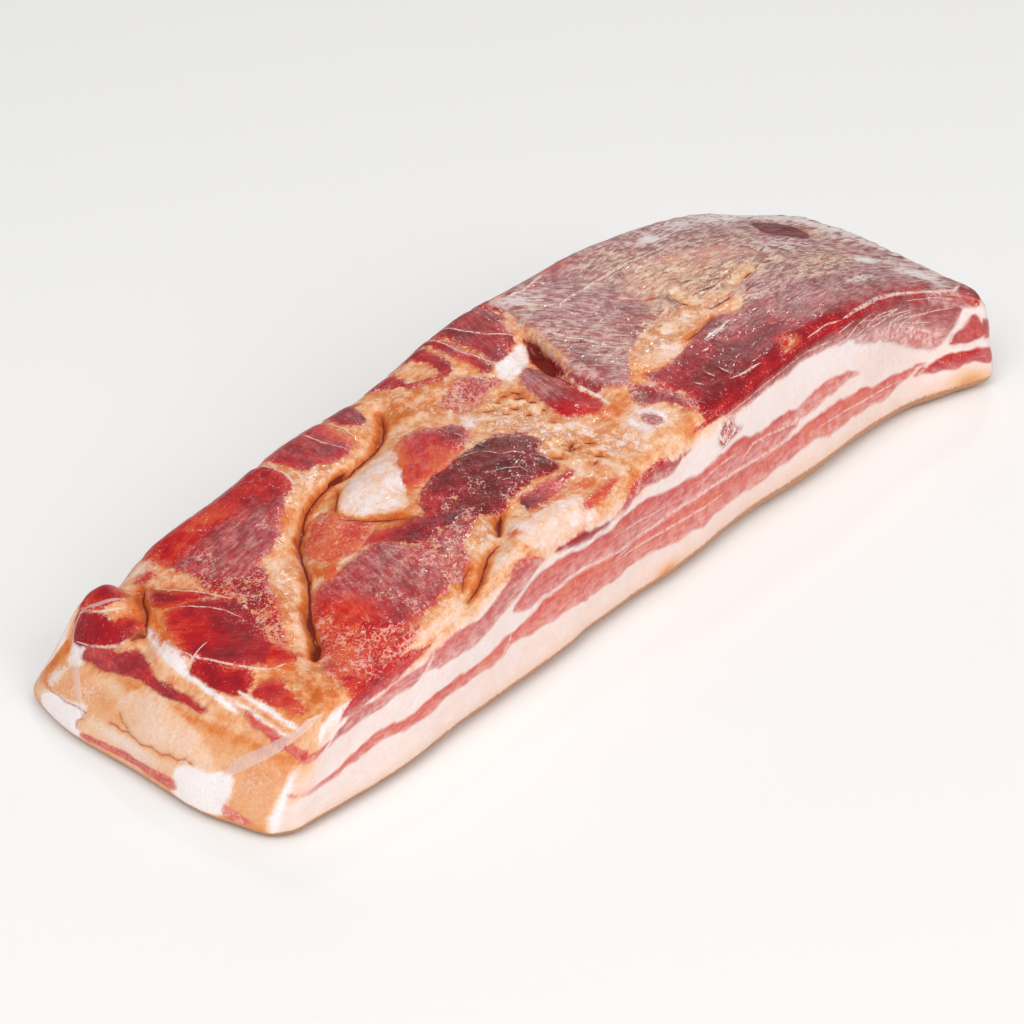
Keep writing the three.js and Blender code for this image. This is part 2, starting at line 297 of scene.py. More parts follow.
# Where lean, fat, veins and cracks lie, in mm on the block.
# Looking down on the top: (along, across) outlines.
# tone: 0 brown purple, 0.5 crimson, 1 orange red; bloom: dry grey mauve film over it;
# flecks: how much fine fat runs through it; turn: the way its fibres run, in degrees;
# solid: its lean counts as no deeper than this in mm, so that fat breaks through it;
# cut: it takes lean away, and counts as this far outside the lean in mm
topMuscles = {
    "thinEndWedge": dict(tone=0.42, bloom=0.0, flecks=0.12, turn=70, outline=[
        (0.5, 103), (9, 106), (11, 90), (13, 80), (8, 79), (5.5, 84), (2.5, 91)]),
    "thinEndRim": dict(tone=0.48, bloom=0.05, flecks=0.15, turn=80, outline=[
        (-2.5, 93), (1.5, 94), (5, 82), (5.4, 72), (4.6, 62), (3.8, 54), (3, 46), (1.6, 38),
        (0.2, 42), (-0.4, 50), (-0.8, 60), (-1.4, 70), (-2.4, 80)]),
    "thinEndPatch": dict(tone=0.62, bloom=0.0, flecks=0.1, turn=60, outline=[
        (9.5, 108), (21, 106), (21.5, 94), (18, 92.5), (12.5, 95)]),
    "thinEndBack": dict(tone=0.5, bloom=0.2, flecks=0.4, turn=20, outline=[
        (27, 97.5), (34, 97), (33.5, 93.5), (28, 94)]),
    "rimStrip": dict(tone=0.74, bloom=0.15, flecks=0.1, turn=-70, outline=[
        (5.5, 28), (5, 20), (3.8, 12), (2, 4), (1, -2), (-3, -2), (-1.6, 4), (0.6, 13),
        (2.6, 21.5), (4.2, 27)]),
    "cornerWedge": dict(tone=0.45, bloom=0.0, flecks=0.1, turn=-65, outline=[
        (27, 89), (30.5, 84), (36, 69.5), (31, 72), (24, 77), (20, 81)]),
    "nearMuscle": dict(tone=0.46, bloom=0.04, flecks=0.14, turn=-58, outline=[
        (13.6, 62), (17, 71), (22, 77), (30, 73), (36, 66), (41, 60), (39, 50), (36, 44),
        (31, 38), (30, 26), (23, 28), (17.5, 38), (14, 45), (13, 54)]),
    "nearMarbled": dict(tone=0.4, bloom=0.05, flecks=0.85, turn=-55, solid=1.6, outline=[
        (39.5, 89), (45, 85), (52, 74), (54, 66), (50, 58), (46, 50), (41, 44), (36, 38),
        (32, 34), (34, 44), (38, 52), (38, 62), (36.5, 72), (38, 80)]),
    "nearFront": dict(tone=0.46, bloom=0.0, flecks=0.1, turn=-60, outline=[
        (9, 51), (13, 52), (15, 43), (17.5, 34), (11, 30.5), (7.6, 34), (7.3, 43)]),
    "frontWedge": dict(tone=0.62, bloom=0.04, flecks=0.08, turn=-60, outline=[
        (10.5, 29), (16.5, 28), (18.5, 24), (16, 19), (13, 13.5), (10.3, 10.5), (9.6, 20)]),
    "seamRed": dict(tone=0.74, bloom=0.0, flecks=0.1, turn=-40, outline=[
        (21, 31), (29, 35), (30.5, 27), (26, 25), (22, 27.5)]),
    "backMuscle": dict(tone=0.5, bloom=0.22, flecks=0.3, turn=8, outline=[
        (40, 108), (52, 113), (88, 112), (95, 104), (95.5, 91), (91, 84.5), (84, 82), (76, 77.5),
        (69, 72.5), (60, 68.5), (52, 67), (46, 69), (43, 76), (40, 84), (38.5, 94)]),
    "backSecond": dict(tone=0.53, bloom=0.14, flecks=0.15, turn=75, outline=[
        (99.5, 108), (112, 112), (126, 107), (126.5, 91), (122, 84), (114, 81), (106, 84),
        (99.5, 88)]),
    "backThird": dict(tone=0.38, bloom=0.12, flecks=0.2, turn=70, outline=[
        (129.5, 108), (142, 107), (139, 94), (136, 90), (130, 91)]),
    "saddleStripe": dict(tone=0.45, bloom=0.1, flecks=0.4, turn=-50, outline=[
        (149, 109), (160, 109), (160, 94), (165, 89.5), (168.5, 84), (162, 88), (155, 95)]),
    "saddleInner": dict(tone=0.42, bloom=0.08, flecks=0.2, turn=88, outline=[
        (169, 110), (175.5, 110), (175, 91), (172, 85), (167.5, 86), (169.5, 93)]),
    "saddleMiddle": dict(tone=0.4, bloom=0.1, flecks=0.2, turn=85, outline=[
        (177, 111), (181, 110), (182.5, 88), (183, 76), (178, 76), (178, 88)]),
    "saddleOuter": dict(tone=0.4, bloom=0.12, flecks=0.2, turn=70, outline=[
        (183, 112), (200, 110), (205, 93), (200.5, 82), (193, 77), (184.5, 76), (184, 86)]),
    "saddleFar": dict(tone=0.45, bloom=0.1, flecks=0.2, turn=60, outline=[
        (202, 110), (212, 108), (209, 93), (205, 94.5)]),
    "saddleTongue": dict(tone=0.5, bloom=0.3, flecks=0.9, turn=65, solid=1.2, outline=[
        (161, 79), (170, 81), (176, 75), (178, 68), (170, 68), (163, 66), (157, 68), (154, 75)]),
    "shelfMuscle": dict(tone=0.43, bloom=0.18, flecks=0.2, turn=72, outline=[
        (181, 61), (188, 66), (191, 56), (190.5, 44), (189, 35), (185, 31.5), (180, 34),
        (176, 40), (177.5, 50)]),
    "shelfSliver": dict(tone=0.42, bloom=0.15, flecks=0.3, turn=75, outline=[
        (192, 57), (197, 52), (199.5, 42), (196, 38.5), (191.5, 39), (192.5, 48)]),
    "darkMuscle": dict(tone=0.19, bloom=0.02, flecks=0.3, turn=32, outline=[
        (101, 29), (105, 40), (112, 47), (124, 50), (136, 52), (149, 52), (157, 49), (161, 43),
        (160, 36), (154, 34), (154, 25), (148, 23.5), (137, 25), (128, 24), (121, 21.5),
        (112, 24), (104, 23)]),
    "orangeMuscle": dict(tone=0.82, bloom=0.03, flecks=0.1, turn=40, outline=[
        (126, 68), (132, 73.5), (141, 71.5), (150, 64), (148, 56), (137, 53), (125, 50),
        (113.5, 50), (113, 53.5), (120, 61.5)]),
    "padRed": dict(tone=0.6, bloom=0.1, flecks=0.4, turn=10, outline=[
        (127, 20), (132, 22.5), (142, 21.5), (150, 21.5), (155.5, 20.5), (153, 17.5), (143, 15.5),
        (133, 13.5), (128, 15)]),
    "padEdgeRed": dict(tone=0.7, bloom=0.05, flecks=0.2, turn=10, outline=[
        (143, 4.8), (148, 7.6), (158, 7.6), (161, 6), (151, 3.6)]),
    "frontMuscle": dict(tone=0.52, bloom=0.2, flecks=0.36, turn=70, outline=[
        (45.5, 38.5), (52, 43), (60, 44), (72, 44.5), (83, 44), (88, 38.5), (91, 30), (90, 21),
        (86, 14), (79, 10), (68, 9), (58, 9.5), (51, 15), (47, 24), (43.6, 31.5)]),
    "mosaic": dict(tone=0.62, bloom=0.08, flecks=0.68, turn=20, solid=1.0, outline=[
        (31, 20.5), (38, 26.5), (44, 33), (50, 29), (55, 17), (62, 8), (57, 4), (42, 3.5),
        (30, 4.5), (27.5, 12)]),
    "cornerRed": dict(tone=0.72, bloom=0.0, flecks=0.2, turn=20, outline=[
        (25.5, 1.5), (27, 9), (32, 10), (35.5, 5), (33.5, 1)]),
    "darkBand": dict(tone=0.36, bloom=0.0, flecks=0.05, turn=-25, outline=[
        (81, 46.5), (88, 47), (95, 43.5), (101, 41), (107.5, 37), (105, 32), (99, 29.5),
        (93.5, 30.5), (90, 35), (86, 41)]),
    "bandRed": dict(tone=0.46, bloom=0.08, flecks=0.5, turn=-10, solid=1.6, outline=[
        (89, 31), (100, 30), (110, 28), (112, 24), (104, 21), (97, 20), (90, 20.5)]),
    "bandMauve": dict(tone=0.5, bloom=0.25, flecks=0.8, turn=40, solid=0.9, outline=[
        (84, 12), (88, 20), (98, 21.5), (100, 18), (93, 12), (86, 9)]),
    "salmon": dict(tone=0.77, bloom=0.04, flecks=0.32, turn=-30, solid=1.1, outline=[
        (67, 58), (74, 64), (82, 68), (88, 63), (92, 55), (93, 50), (88, 47.5), (80, 46.5),
        (73, 47.5), (68, 51)]),
    "redSpot": dict(tone=0.72, bloom=0.0, flecks=0.0, turn=30, outline=[
        (62, 45), (65.5, 48.5), (69, 47.5), (66, 44)]),
    "padCore": dict(tone=0.42, bloom=0.3, flecks=0.6, turn=80, outline=[
        (189.3, 15), (189.8, 18), (191.4, 19.8), (193.6, 18.8), (194.6, 15.8), (193.6, 12.6),
        (191.2, 11.8), (189.6, 13)]),
    "padMauve": dict(tone=0.4, bloom=0.32, flecks=0.45, turn=10, outline=[
        (200.5, 33), (206, 28), (207.5, 17), (206, 8), (203, 10.5), (201.4, 17.5), (198, 20),
        (195.4, 23.5), (196, 28)]),
    "farFront": dict(tone=0.4, bloom=0.16, flecks=0.3, turn=4, outline=[
        (204, 2), (209, 0), (250, -1), (300, -1), (340, -1), (357, -2), (358, 8), (349, 19),
        (330, 21), (316, 25), (300, 30), (280, 31.5), (262, 31.5), (250, 34.5), (238, 33.5),
        (228, 31), (215, 30.5), (209, 33), (207, 26), (208.6, 16), (206, 7)]),
    "farStreaks": dict(tone=0.4, bloom=0.12, flecks=0.35, turn=86, outline=[
        (205, 1), (208.6, 14), (207, 26), (209, 33), (215, 30), (228, 30), (236, 32), (238, 20),
        (234, 10), (236, 3)]),
    "farMembrane": dict(tone=0.36, bloom=0.85, flecks=0.2, turn=4, outline=[
        (200, 34), (198, 46), (197.5, 58), (200.5, 76), (206, 87), (211, 98), (230, 107),
        (262, 109), (300, 108), (335, 104), (356, 86), (358, 50), (350, 14), (330, 17), (300, 27),
        (275, 29), (262, 32), (257, 36), (257.5, 44), (253, 46.5), (246, 47.5), (238, 48.5),
        (230, 48.5), (222, 47.5), (214, 44)]),
    "membraneNear": dict(tone=0.36, bloom=0.8, flecks=0.2, turn=-54, outline=[
        (200, 34), (198, 46), (197.5, 58), (200.5, 76), (206, 87), (211, 98), (222, 102),
        (240, 88), (246, 70), (240, 55), (238, 48.5), (226, 48.5), (218, 47), (212, 43)]),
    # painted shade: the darkest lean laid where the pit under the shelf lies
    "paintedShelfPitShade": dict(tone=0.04, bloom=-0.9, flecks=-0.9, turn=70, outline=[
        (199, 76.5), (199.5, 72.5), (197.5, 66.5), (196.5, 60), (193.5, 53.5), (192.3, 55.5),
        (192, 60.5), (192, 65.5), (194.5, 70.5)]),
    "lipGold": dict(tone=0.36, bloom=0.8, flecks=0.2, turn=80, cut=0.3, outline=[
        (200, 84), (204, 89), (206.5, 80), (204.5, 70), (201.5, 60), (198.5, 57), (199.5, 66),
        (201, 74)]),
    "goldFork": dict(tone=0.38, bloom=0.8, flecks=0.2, turn=-54, cut=0.7, outline=[
        (256, 58), (260, 58), (260, 51.5), (258.8, 46), (255, 42.5), (253.4, 46), (254, 51.5)]),
    "goldBranch": dict(tone=0.38, bloom=0.8, flecks=0.2, turn=4, cut=0.7, outline=[
        (254, 43), (259.5, 44.8), (264, 44.8), (268, 43.6), (277, 46.4), (284, 49.4), (292, 50.4),
        (288, 45.5), (277.5, 42), (269.5, 39.4), (261.5, 39), (255, 38)]),
    "goldLobe": dict(tone=0.38, bloom=0.8, flecks=0.2, turn=4, cut=0.6, outline=[
        (253, 37), (260.5, 38.6), (266, 37.3), (272, 35), (266.5, 33.6), (260.5, 30.5),
        (255, 32.5)]),
    "farKhaki": dict(tone=0.38, bloom=0.85, flecks=0.2, turn=-8, cut=-0.5, outline=[
        (244, 53), (246, 66), (252, 74), (266, 76), (284, 72), (298, 66), (303, 56), (290, 58),
        (270, 58), (254, 60)]),
    "edgeGold": dict(tone=0.5, bloom=0.0, flecks=0.2, turn=10, cut=-0.4, outline=[
        (248, 0.5), (251.4, 7), (256, 7.5), (257, 3.4), (253, -0.5)]),
    # painted shade: a dark patch laid where the pit at the far end lies
    "paintedFarPitShade": dict(tone=0.2, bloom=-0.9, flecks=0.1, turn=50, outline=[
        (325, 69), (332, 79), (338, 75), (339, 66), (334, 58), (329, 62)]),
}

# The long front side, (along, up): streaks of lean between their upper and lower edges
frontStreaks = {
    "lowStreak": dict(tone=0.84, bloom=0.27, flecks=0.3, upper=[
        (-2, 23.8), (3, 23), (10, 19.6), (20, 19), (30, 22.3), (37, 23), (46, 20.2), (60, 21),
        (85, 20.2), (105, 21.5), (120, 23.5), (142, 23.6), (152, 22.6), (163, 23), (174, 22.1),
        (187, 21.1), (201, 20.1), (215, 19.1), (229, 17.8), (240, 17.3), (247, 17.2), (256, 18),
        (272, 18.3), (288, 17.8), (305, 16.5), (326, 15.6)], lower=[
        (-2, 22.6), (3, 21.4), (10, 17.6), (20, 16.8), (32, 18.8), (38, 19), (46, 16.6),
        (60, 16), (80, 16.4), (86, 15.2), (95, 17), (110, 15.8), (130, 15), (148, 14.6),
        (161, 15), (173, 14), (181, 12.3), (193, 11.5), (207, 10.5), (220, 11.2),
        (234, 11), (253, 11.4), (264, 11.8), (272, 10.6), (288, 10.4), (305, 11), (326, 15.2)]),
    "middleStreak": dict(tone=0.74, bloom=0.3, flecks=0.35, upper=[
        (99, 27.6), (106, 30), (115, 31.8), (140, 31.5), (160, 32.2), (175, 30.4), (183, 28.4),
        (191, 27), (201, 26.8), (215, 27.2), (225, 26), (236, 24.8), (246, 24.4), (256, 23)],
        lower=[(99, 27.2), (106, 24.2), (115, 24), (125, 24.9), (142, 24.4), (152, 23), (163, 23),
               (174, 22.1), (187, 21.1), (201, 20.1), (215, 19.1), (229, 17.8), (240, 17.4),
               (247, 18), (252, 19.6), (256, 22.6)]),
    "farTongue": dict(tone=0.76, bloom=0.4, flecks=0.2, upper=[
        (244, 22.6), (258, 24.5), (268, 25.5), (275, 25.8), (283, 24.6), (289, 23.2)], lower=[
        (244, 22.2), (255, 20.6), (265, 20.6), (275, 21.4), (283, 22.6), (289, 23.0)]),
    "upperStreak": dict(tone=0.66, bloom=0.38, flecks=0.35, upper=[
        (12, 30.6), (20, 34), (28, 35.3), (36, 34.8), (42, 34.7), (50, 34.2), (57, 33.6),
        (62, 34.5), (75, 34.7), (85, 33.5), (93, 34.5), (99, 36.5), (104, 40), (110, 40),
        (117, 35.2)], lower=[
        (12, 30.2), (20, 29.5), (30, 30.6), (40, 30.5), (52, 30), (57, 31), (62, 29.5),
        (70, 28.2), (80, 27), (88, 27.4), (96, 29.2), (104, 30.4), (110, 32.6), (117, 34.9)]),
    "cornerStreak": dict(tone=0.72, bloom=0.2, flecks=0.2, upper=[
        (-2, 39), (4, 37), (8, 34.6), (13, 32)], lower=[
        (-2, 36.6), (4, 34.4), (8, 32.2), (13, 31.4)]),
    "creaseStreak": dict(tone=0.55, bloom=0.12, flecks=0.3, upper=[
        (17, 36), (25, 41), (55, 41), (61, 37.6)], lower=[
        (17, 35.6), (25, 35.4), (35, 36.2), (45, 35.4), (52, 35.8), (61, 37.2)]),
    "darkLens": dict(tone=0.44, bloom=0.1, flecks=0.1, upper=[
        (122, 34.7), (128, 35.5), (138, 35.3), (150, 34.1)], lower=[
        (122, 34.4), (130, 33.4), (140, 33), (150, 33.8)]),
    "padStreak": dict(tone=0.55, bloom=0.25, flecks=0.6, upper=[
        (152, 34.4), (158, 36.5), (163, 39.5), (170, 41), (181, 40), (186, 36.4), (192, 34.4)],
        lower=[(152, 34), (160, 34), (168, 35.2), (175, 34.5), (183, 33), (192, 34)]),
    "edgeBand": dict(tone=0.44, bloom=0.15, flecks=0.25, upper=[
        (196, 39.4), (203, 41), (250, 42), (285, 42), (330, 41), (346, 33.4)], lower=[
        (196, 39), (204, 38.2), (215, 36), (228, 35), (240, 34.9), (258, 35.4), (272, 34.2),
        (285, 33.2), (297, 32.6), (306, 31.6), (315, 29.4), (324, 25), (333, 22), (340, 24.5),
        (346, 33)]),
    "farLow": dict(tone=0.66, bloom=0.12, flecks=0.4, upper=[
        (320, 12.6), (328, 15), (336, 17), (346, 17.5), (354, 18), (364, 15.6)], lower=[
        (320, 12.3), (332, 12), (340, 11), (347, 12.6), (353, 11), (364, 12)]),
}

frontPatches = {
    "farTriangle": dict(tone=0.6, bloom=0.1, flecks=0.3, turn=50, outline=[
        (338.5, 20.8), (345, 27), (351, 31.5), (354.5, 25), (352, 21.6), (345, 20.4)]),
    "edgeMarbled": dict(tone=0.6, bloom=0.45, flecks=0.6, turn=30, solid=1.0, outline=[
        (284, 32.6), (300, 32.6), (315, 30.4), (325, 28), (333, 26.4), (338, 23.4), (332, 20.4),
        (322, 21.6), (312, 25), (300, 29.4)]),
    "farCorner": dict(tone=0.46, bloom=0.35, flecks=0.7, turn=0, outline=[
        (332, 39), (342, 39.6), (351, 38.4), (353.4, 35.4), (348, 33.6), (340, 34.6), (334, 35)]),
    "cornerSpot": dict(tone=0.66, bloom=0.05, flecks=0.2, turn=0, outline=[
        (347, 38.6), (352, 39), (354.6, 36.6), (352, 34.8), (348.6, 35.8)]),
    "bandSpot": dict(tone=0.55, bloom=0.15, flecks=1.0, turn=60, outline=[
        (208, 32.5), (211, 35), (215, 34.5), (216, 31.5), (219.5, 29.2), (212, 29), (208, 29.6)]),
}

# The thin end, (across, up)
nearPatches = {
    "lowStrip": dict(tone=0.76, bloom=0.22, flecks=0.2, turn=0, outline=[
        (37.5, 8), (37.5, 12.3), (41, 12.6), (50, 11.2), (60, 11.2), (69, 9.8), (76, 8.8),
        (75.5, 6.8), (65, 7.2), (50, 7.6)]),
    "cornerStrip": dict(tone=0.8, bloom=0.22, flecks=0.6, turn=20, outline=[
        (10, 8), (14, 11), (19.5, 12), (19.5, 8.5), (15, 6.4)]),
    "rimRed": dict(tone=0.58, bloom=0.1, flecks=0.2, turn=0, outline=[
        (77, 38.6), (80, 41), (92, 41), (93, 38.8), (86, 38)]),
}

# Paler and deeper places: (along, across, half along, half across, amount)
topSpots = {
    # how much fat runs through the lean
    "flecks": [(148, 54, 12, 5, 0.5), (157, 43, 4, 9, 0.4), (129, 34, 4, 10, 0.3),
               (144, 31, 12, 4, 0.05), (116, 36, 9, 2.5, 0.7), (112, 28, 7, 3, 0.6),
               (95, 27, 7, 6, 0.5), (46, 84, 5, 5, 0.6), (64, 90, 4, 3, 0.5), (70, 80, 10, 5, 0.25),
               (68, 18, 4, 8, 0.4), (34, 50, 5, 12, 0.4), (41, 44, 5, 6, 0.4),
               (200, 45, 3, 10, 0.5), (142, 66, 6, 6, 0.4), (200, 28, 4, 3, 0.6),
               (84, 30, 4, 10, 0.5)],
    "tone": [(19, 67, 8, 12, 0.26), (144, 61, 7, 9, -0.42), (102, 26, 8, 4, -0.12),
             (60, 97, 24, 6, 0.34), (86, 95, 9, 6, 0.05), (124, 92, 4, 8, 0.4),
             (112, 41, 7, 6, 0.42), (129, 18, 3.4, 3.4, -0.5), (148, 64, 6, 5, -0.2),
             (182, 37, 8, 6, 0.2), (250, 1, 60, 2.5, 0.06), (232, 12, 12, 10, -0.12),
             (50, 38, 8, 10, 0.2), (97, 36, 6, 5, -0.06), (88, 44, 6, 3, 0.4),
             (148, 31, 9, 6, -0.08), (322, 80, 14, 8, -0.15), (55, 30, 9, 10, 0.16),
             (244, 99, 9, 5, 0.3), (266, 97, 3, 3, 0.3), (208, 24, 4, 9, 0.1),
             (123, 57, 6, 5, -0.06)],
    "bloom": [(19, 67, 9, 14, -0.1), (139, 71.5, 9, 3.5, 0.35), (100, 24, 8, 4, 0.2),
              (60, 98, 30, 7, -0.4), (64, 80, 14, 9, 0.14), (80, 32, 9, 14, 0.2),
              (50, 26, 9, 16, -0.3), (182, 37, 9, 8, -0.5), (184, 58, 7, 8, 0.25),
              (236, 3, 44, 4, -0.6), (222, 14, 14, 10, -0.12), (151, 65, 5, 4, 0.35),
              (334, 13, 18, 13, 0.5), (234, 56, 9, 6, -0.5), (88, 92, 9, 9, -0.3),
              (152, 44, 6, 8, 0.06), (256, 15, 10, 6, -0.25), (304, 17, 18, 12, 0.5),
              (276, 21, 15, 11, 0.5), (252, 26, 8, 6, 0.35), (285, 65, 9, 5, -0.2),
              (245, 100, 10, 5, -0.6), (204, 50, 4, 30, -0.2), (300, 80, 6, 4, -0.2),
              (296, 56, 4, 3, -0.25)],
    # how tan the bloom is
    "dry": [(166, 48, 12, 22, 0.4), (238, 46, 14, 6, 0.35), (236, 52, 20, 5, 0.5),
            (264, 62, 20, 16, 0.95), (262, 88, 16, 10, 0.6), (285, 48, 26, 7, 0.9),
            (214, 66, 3, 10, 0.2), (203, 74, 4, 14, 0.9), (300, 68, 20, 14, 0.5),
            (320, 36, 16, 8, 0.8), (300, 31, 20, 4, 0.4), (342, 66, 8, 16, 0.6),
            (215, 86, 4, 4, 0.5), (262, 34, 6, 4, 0.9)],
    # painted sheen: how strongly the film's whitish reflection is painted into the colour
    "paintedSheen": [(285, 89, 7, 7, 0.75), (306, 92, 14, 9, 0.6), (332, 92, 16, 10, 0.8),
             (346, 76, 7, 20, 0.6), (312, 16.5, 9, 3, 0.8), (341, 14, 7, 12, 0.9),
             (333, 32, 5, 5, 1.0), (318, 60, 20, 8, 0.4), (212, 97, 8, 5, 0.6),
             (219, 91, 7, 4, 0.5), (241, 28, 7, 1.6, 0.7), (206, 28, 3, 3, 0.5),
             (332, 68, 7, 10, -1.0), (292, 74, 10, 3, 0.4), (353, 50, 5, 50, 0.55),
             (322, 52, 18, 8, 0.4)],
    # how far orange smoke stains the fat and the lean by it
    "stain": [(14, 72, 4, 12, 0.8), (22, 83, 9, 6, 1.0), (19, 11, 8, 8, 0.55), (28, 29, 4, 4, 0.5),
              (150, 12.5, 5, 2.5, 1.3), (66, 49, 9, 3, 1.0), (95, 46, 7, 3, 0.9),
              (134, 14, 12, 2, 0.7), (122, 60, 4, 7, 0.7), (45, 98, 7, 5, 0.35),
              (122, 90, 4, 9, 0.4), (82, 76, 10, 3, 0.35), (150, 84, 14, 10, 0.35),
              (186, 29, 8, 3, 0.6), (40, 20, 10, 6, 0.4), (115, 11, 4, 3, 0.7), (97, 41, 9, 4, 0.6),
              (113, 46, 6, 5, 0.5), (88, 6, 8, 2, 0.4), (235, 37, 3, 3, 0.6), (62, 9, 10, 3, 0.3),
              (104, 74, 8, 2, 0.5), (32, 84, 3, 6, 0.3), (190, 27, 5, 5, 0.4), (255, 3, 5, 4, 0.5),
              (240, 44, 22, 8, -0.3), (280, 46, 24, 8, -0.3), (272, 64, 34, 12, -0.5),
              (128, 4, 10, 6, -0.25), (106, 60, 8, 6, -0.3), (188, 16, 6, 5, -0.2),
              (320, 22, 30, 6, -0.25)],
    "fatTone": [(12, 8, 12, 4, 0.06), (352, 6, 8, 12, -0.3), (128, 10, 4, 3, 0.1),
                (122, 3, 5, 3, 0.08), (186, 71, 7, 5, -0.05), (11, 63, 3, 7, -0.6),
                (20, 13, 9, 9, 0.3), (20, 83, 9, 7, 0.25), (14, 68, 3, 14, 0.1),
                (149, 84, 13, 12, 0.12), (194, 29, 8, 4, 0.15), (112, 17, 8, 5, 0.02),
                (92, 8, 14, 5, 0.05), (238, 45, 18, 7, -0.04), (276, 46, 20, 8, -0.04),
                (70, 3, 20, 4, -0.2), (97, 45, 8, 4, 0.3), (152, 62, 8, 4, -0.3),
                (60, 55, 14, 10, -0.04), (165, 50, 14, 22, -0.1), (178, 14, 8, 8, -0.15),
                (232, 46, 8, 2, 0.16), (66, 57, 5, 3, -0.25), (105, 6, 6, 5, -0.2),
                (108, 14, 5, 4, -0.2), (96, 14, 4, 4, -0.12), (37, 62, 4, 20, -0.1),
                (34, 101, 9, 7, -0.24), (182.6, 16, 2, 5, 0.26), (188, 9.6, 5, 1.8, 0.26)],
}

# Veins of fat and thin sinew over the lean: (half width, line)
topVeins = [
    (0.5, [(5.5, 9), (9, 7), (12, 4.5)]),
    (0.6, [(230, 24.6), (232.8, 24)]),
    (0.35, [(214.6, 16), (215, 13)]),
    (0.3, [(221, 16.5), (221.3, 13)]),
    (0.3, [(226, 14.5), (225.4, 9)]),
    (0.6, [(237, 28.6), (246, 27.8), (252, 28.4)]),
    (0.45, [(224, 7), (229, 5.4), (236, 4.8)]),
    (0.35, [(262, 1.8), (272, 2.6), (280, 1.4)]),
    (0.45, [(1.5, 99), (3, 92), (5, 85), (7, 79), (8.5, 74)]),
    (0.4, [(8, 105), (10, 99), (13.5, 91), (15, 88)]),
    (0.35, [(29.5, 88), (31, 83), (34, 76), (36.5, 69), (38, 63)]),
    (0.6, [(94.5, 104), (95.6, 98), (95.6, 92), (93, 86), (89, 83)]),
    (0.35, [(98.8, 93), (98, 87), (95.5, 84)]),
    (0.3, [(117, 101), (116, 92), (117, 84)]),
    (0.35, [(13, 60), (13.8, 52), (15.5, 44), (17.5, 37), (18.6, 32), (21, 28.5), (24, 27)]),
    (0.3, [(8.5, 53.5), (14, 54), (19, 54.3)]),
    (0.25, [(24, 76), (28, 71), (31, 66), (33, 60), (34, 54)]),
    (0.3, [(128, 99), (127.5, 92), (126, 88)]),
    (0.4, [(187, 104), (188.6, 98), (191, 92.5), (194.5, 87.5), (198, 81.5), (199.5, 76.5)]),
    (0.3, [(180.5, 104), (181.5, 92.5), (182.2, 84), (183.4, 74)]),
    (0.17, [(145, 61), (146.4, 54.5), (145.5, 49)]),
    (0.2, [(143.5, 47), (146, 42), (149.5, 40), (150.4, 37)]),
    (0.16, [(151, 35), (154, 31), (153.5, 25)]),
    (0.17, [(134, 51), (138, 50), (142, 48)]),
    (0.2, [(136, 37), (140, 35.4), (143.6, 33), (143, 29.6)]),
    (0.16, [(134.5, 31.6), (138, 30.4), (141, 28)]),
    (0.5, [(208, 76), (210, 67), (213, 60.5), (215, 54.5), (216, 48.5)]),
    (1.0, [(282, 1.6), (290, 2.6), (298, 3), (307.5, 3), (318.5, 1.4), (336.5, 0.6), (345, 2.4),
           (350, 6)]),
    (0.5, [(209, 101), (216, 98), (224, 97), (236, 99)]),
    (0.5, [(212, 94), (218, 86), (224, 82), (250, 81.6), (290, 79)]),
]

# Broad clean lines of fat that part the lean of the top: (half width, line)
fatLines = [
    (1.6, [(11.3, 78), (10.8, 71), (10.9, 64.5), (9.5, 57.5), (8, 51)]),
    (0.6, [(9.8, 59), (7.8, 50.5), (7, 44.5), (6, 38.5), (5, 33), (4.2, 29)]),
    (0.6, [(9.7, 33), (8.7, 26), (8.1, 20.5), (7.2, 15), (6.5, 8.5)]),
    (0.35, [(6.8, 34), (6.2, 29), (5.4, 23), (4.7, 17), (4.1, 10)]),
    (0.5, [(194, 54), (192.5, 48), (191.5, 42), (191, 37), (190, 32.5)]),
]

frontVeins = [
    (0.55, [(142, 24), (152, 22.8), (163, 23), (174, 22.1), (187, 21.1), (201, 20.1), (215, 19.1),
            (229, 17.8), (240, 17.3), (247, 17.2), (254, 18.6), (257.5, 20.4)]),
    (0.4, [(150, 20.6), (162.5, 20), (173.5, 18.7), (183.5, 17.6), (198.5, 15.8), (208, 15.6)]),
    (0.4, [(231, 23), (241, 21.4), (250, 20.2), (254.5, 22), (257.5, 24.5)]),
    (0.3, [(262, 14.8), (285, 14.3), (314, 13.8)]),
    (0.35, [(196, 23), (203, 24.3), (210, 24.6), (217, 24.2)]),
    (0.4, [(220, 21.4), (225, 23), (230, 23), (232, 21)]),
    (0.25, [(150, 29), (165, 27.4), (178, 25)]),
    (0.18, [(203, 37), (231, 36.6), (260, 36.6), (276, 35.4)]),
    (0.25, [(262, 33.8), (280, 34.2), (288, 36.8), (298, 38.4)]),
    (0.22, [(262, 36.4), (276, 36.8), (286, 38.6)]),
    (0.25, [(286, 33.8), (300, 36.6), (312, 36)]),
    (0.22, [(292, 33.6), (306, 34.8), (320, 34.2)]),
    (0.22, [(300, 33.6), (314, 32.6), (328, 32), (342, 33.6)]),
    (0.2, [(306, 32), (318, 30.6), (330, 29)]),
    (0.2, [(312, 30.4), (322, 28.4), (330, 26)]),
    (0.2, [(318, 37.5), (328, 37), (336, 37.6)]),
    (0.7, [(92, 16.6), (95, 18.6), (97, 20.6)]),
    (0.8, [(55, 30), (58.5, 32), (61, 34)]),
    (0.8, [(338, 20), (342, 25.5), (347, 31), (352, 36)]),
    (0.5, [(322, 12.4), (330, 16), (336, 18.6)]),
]

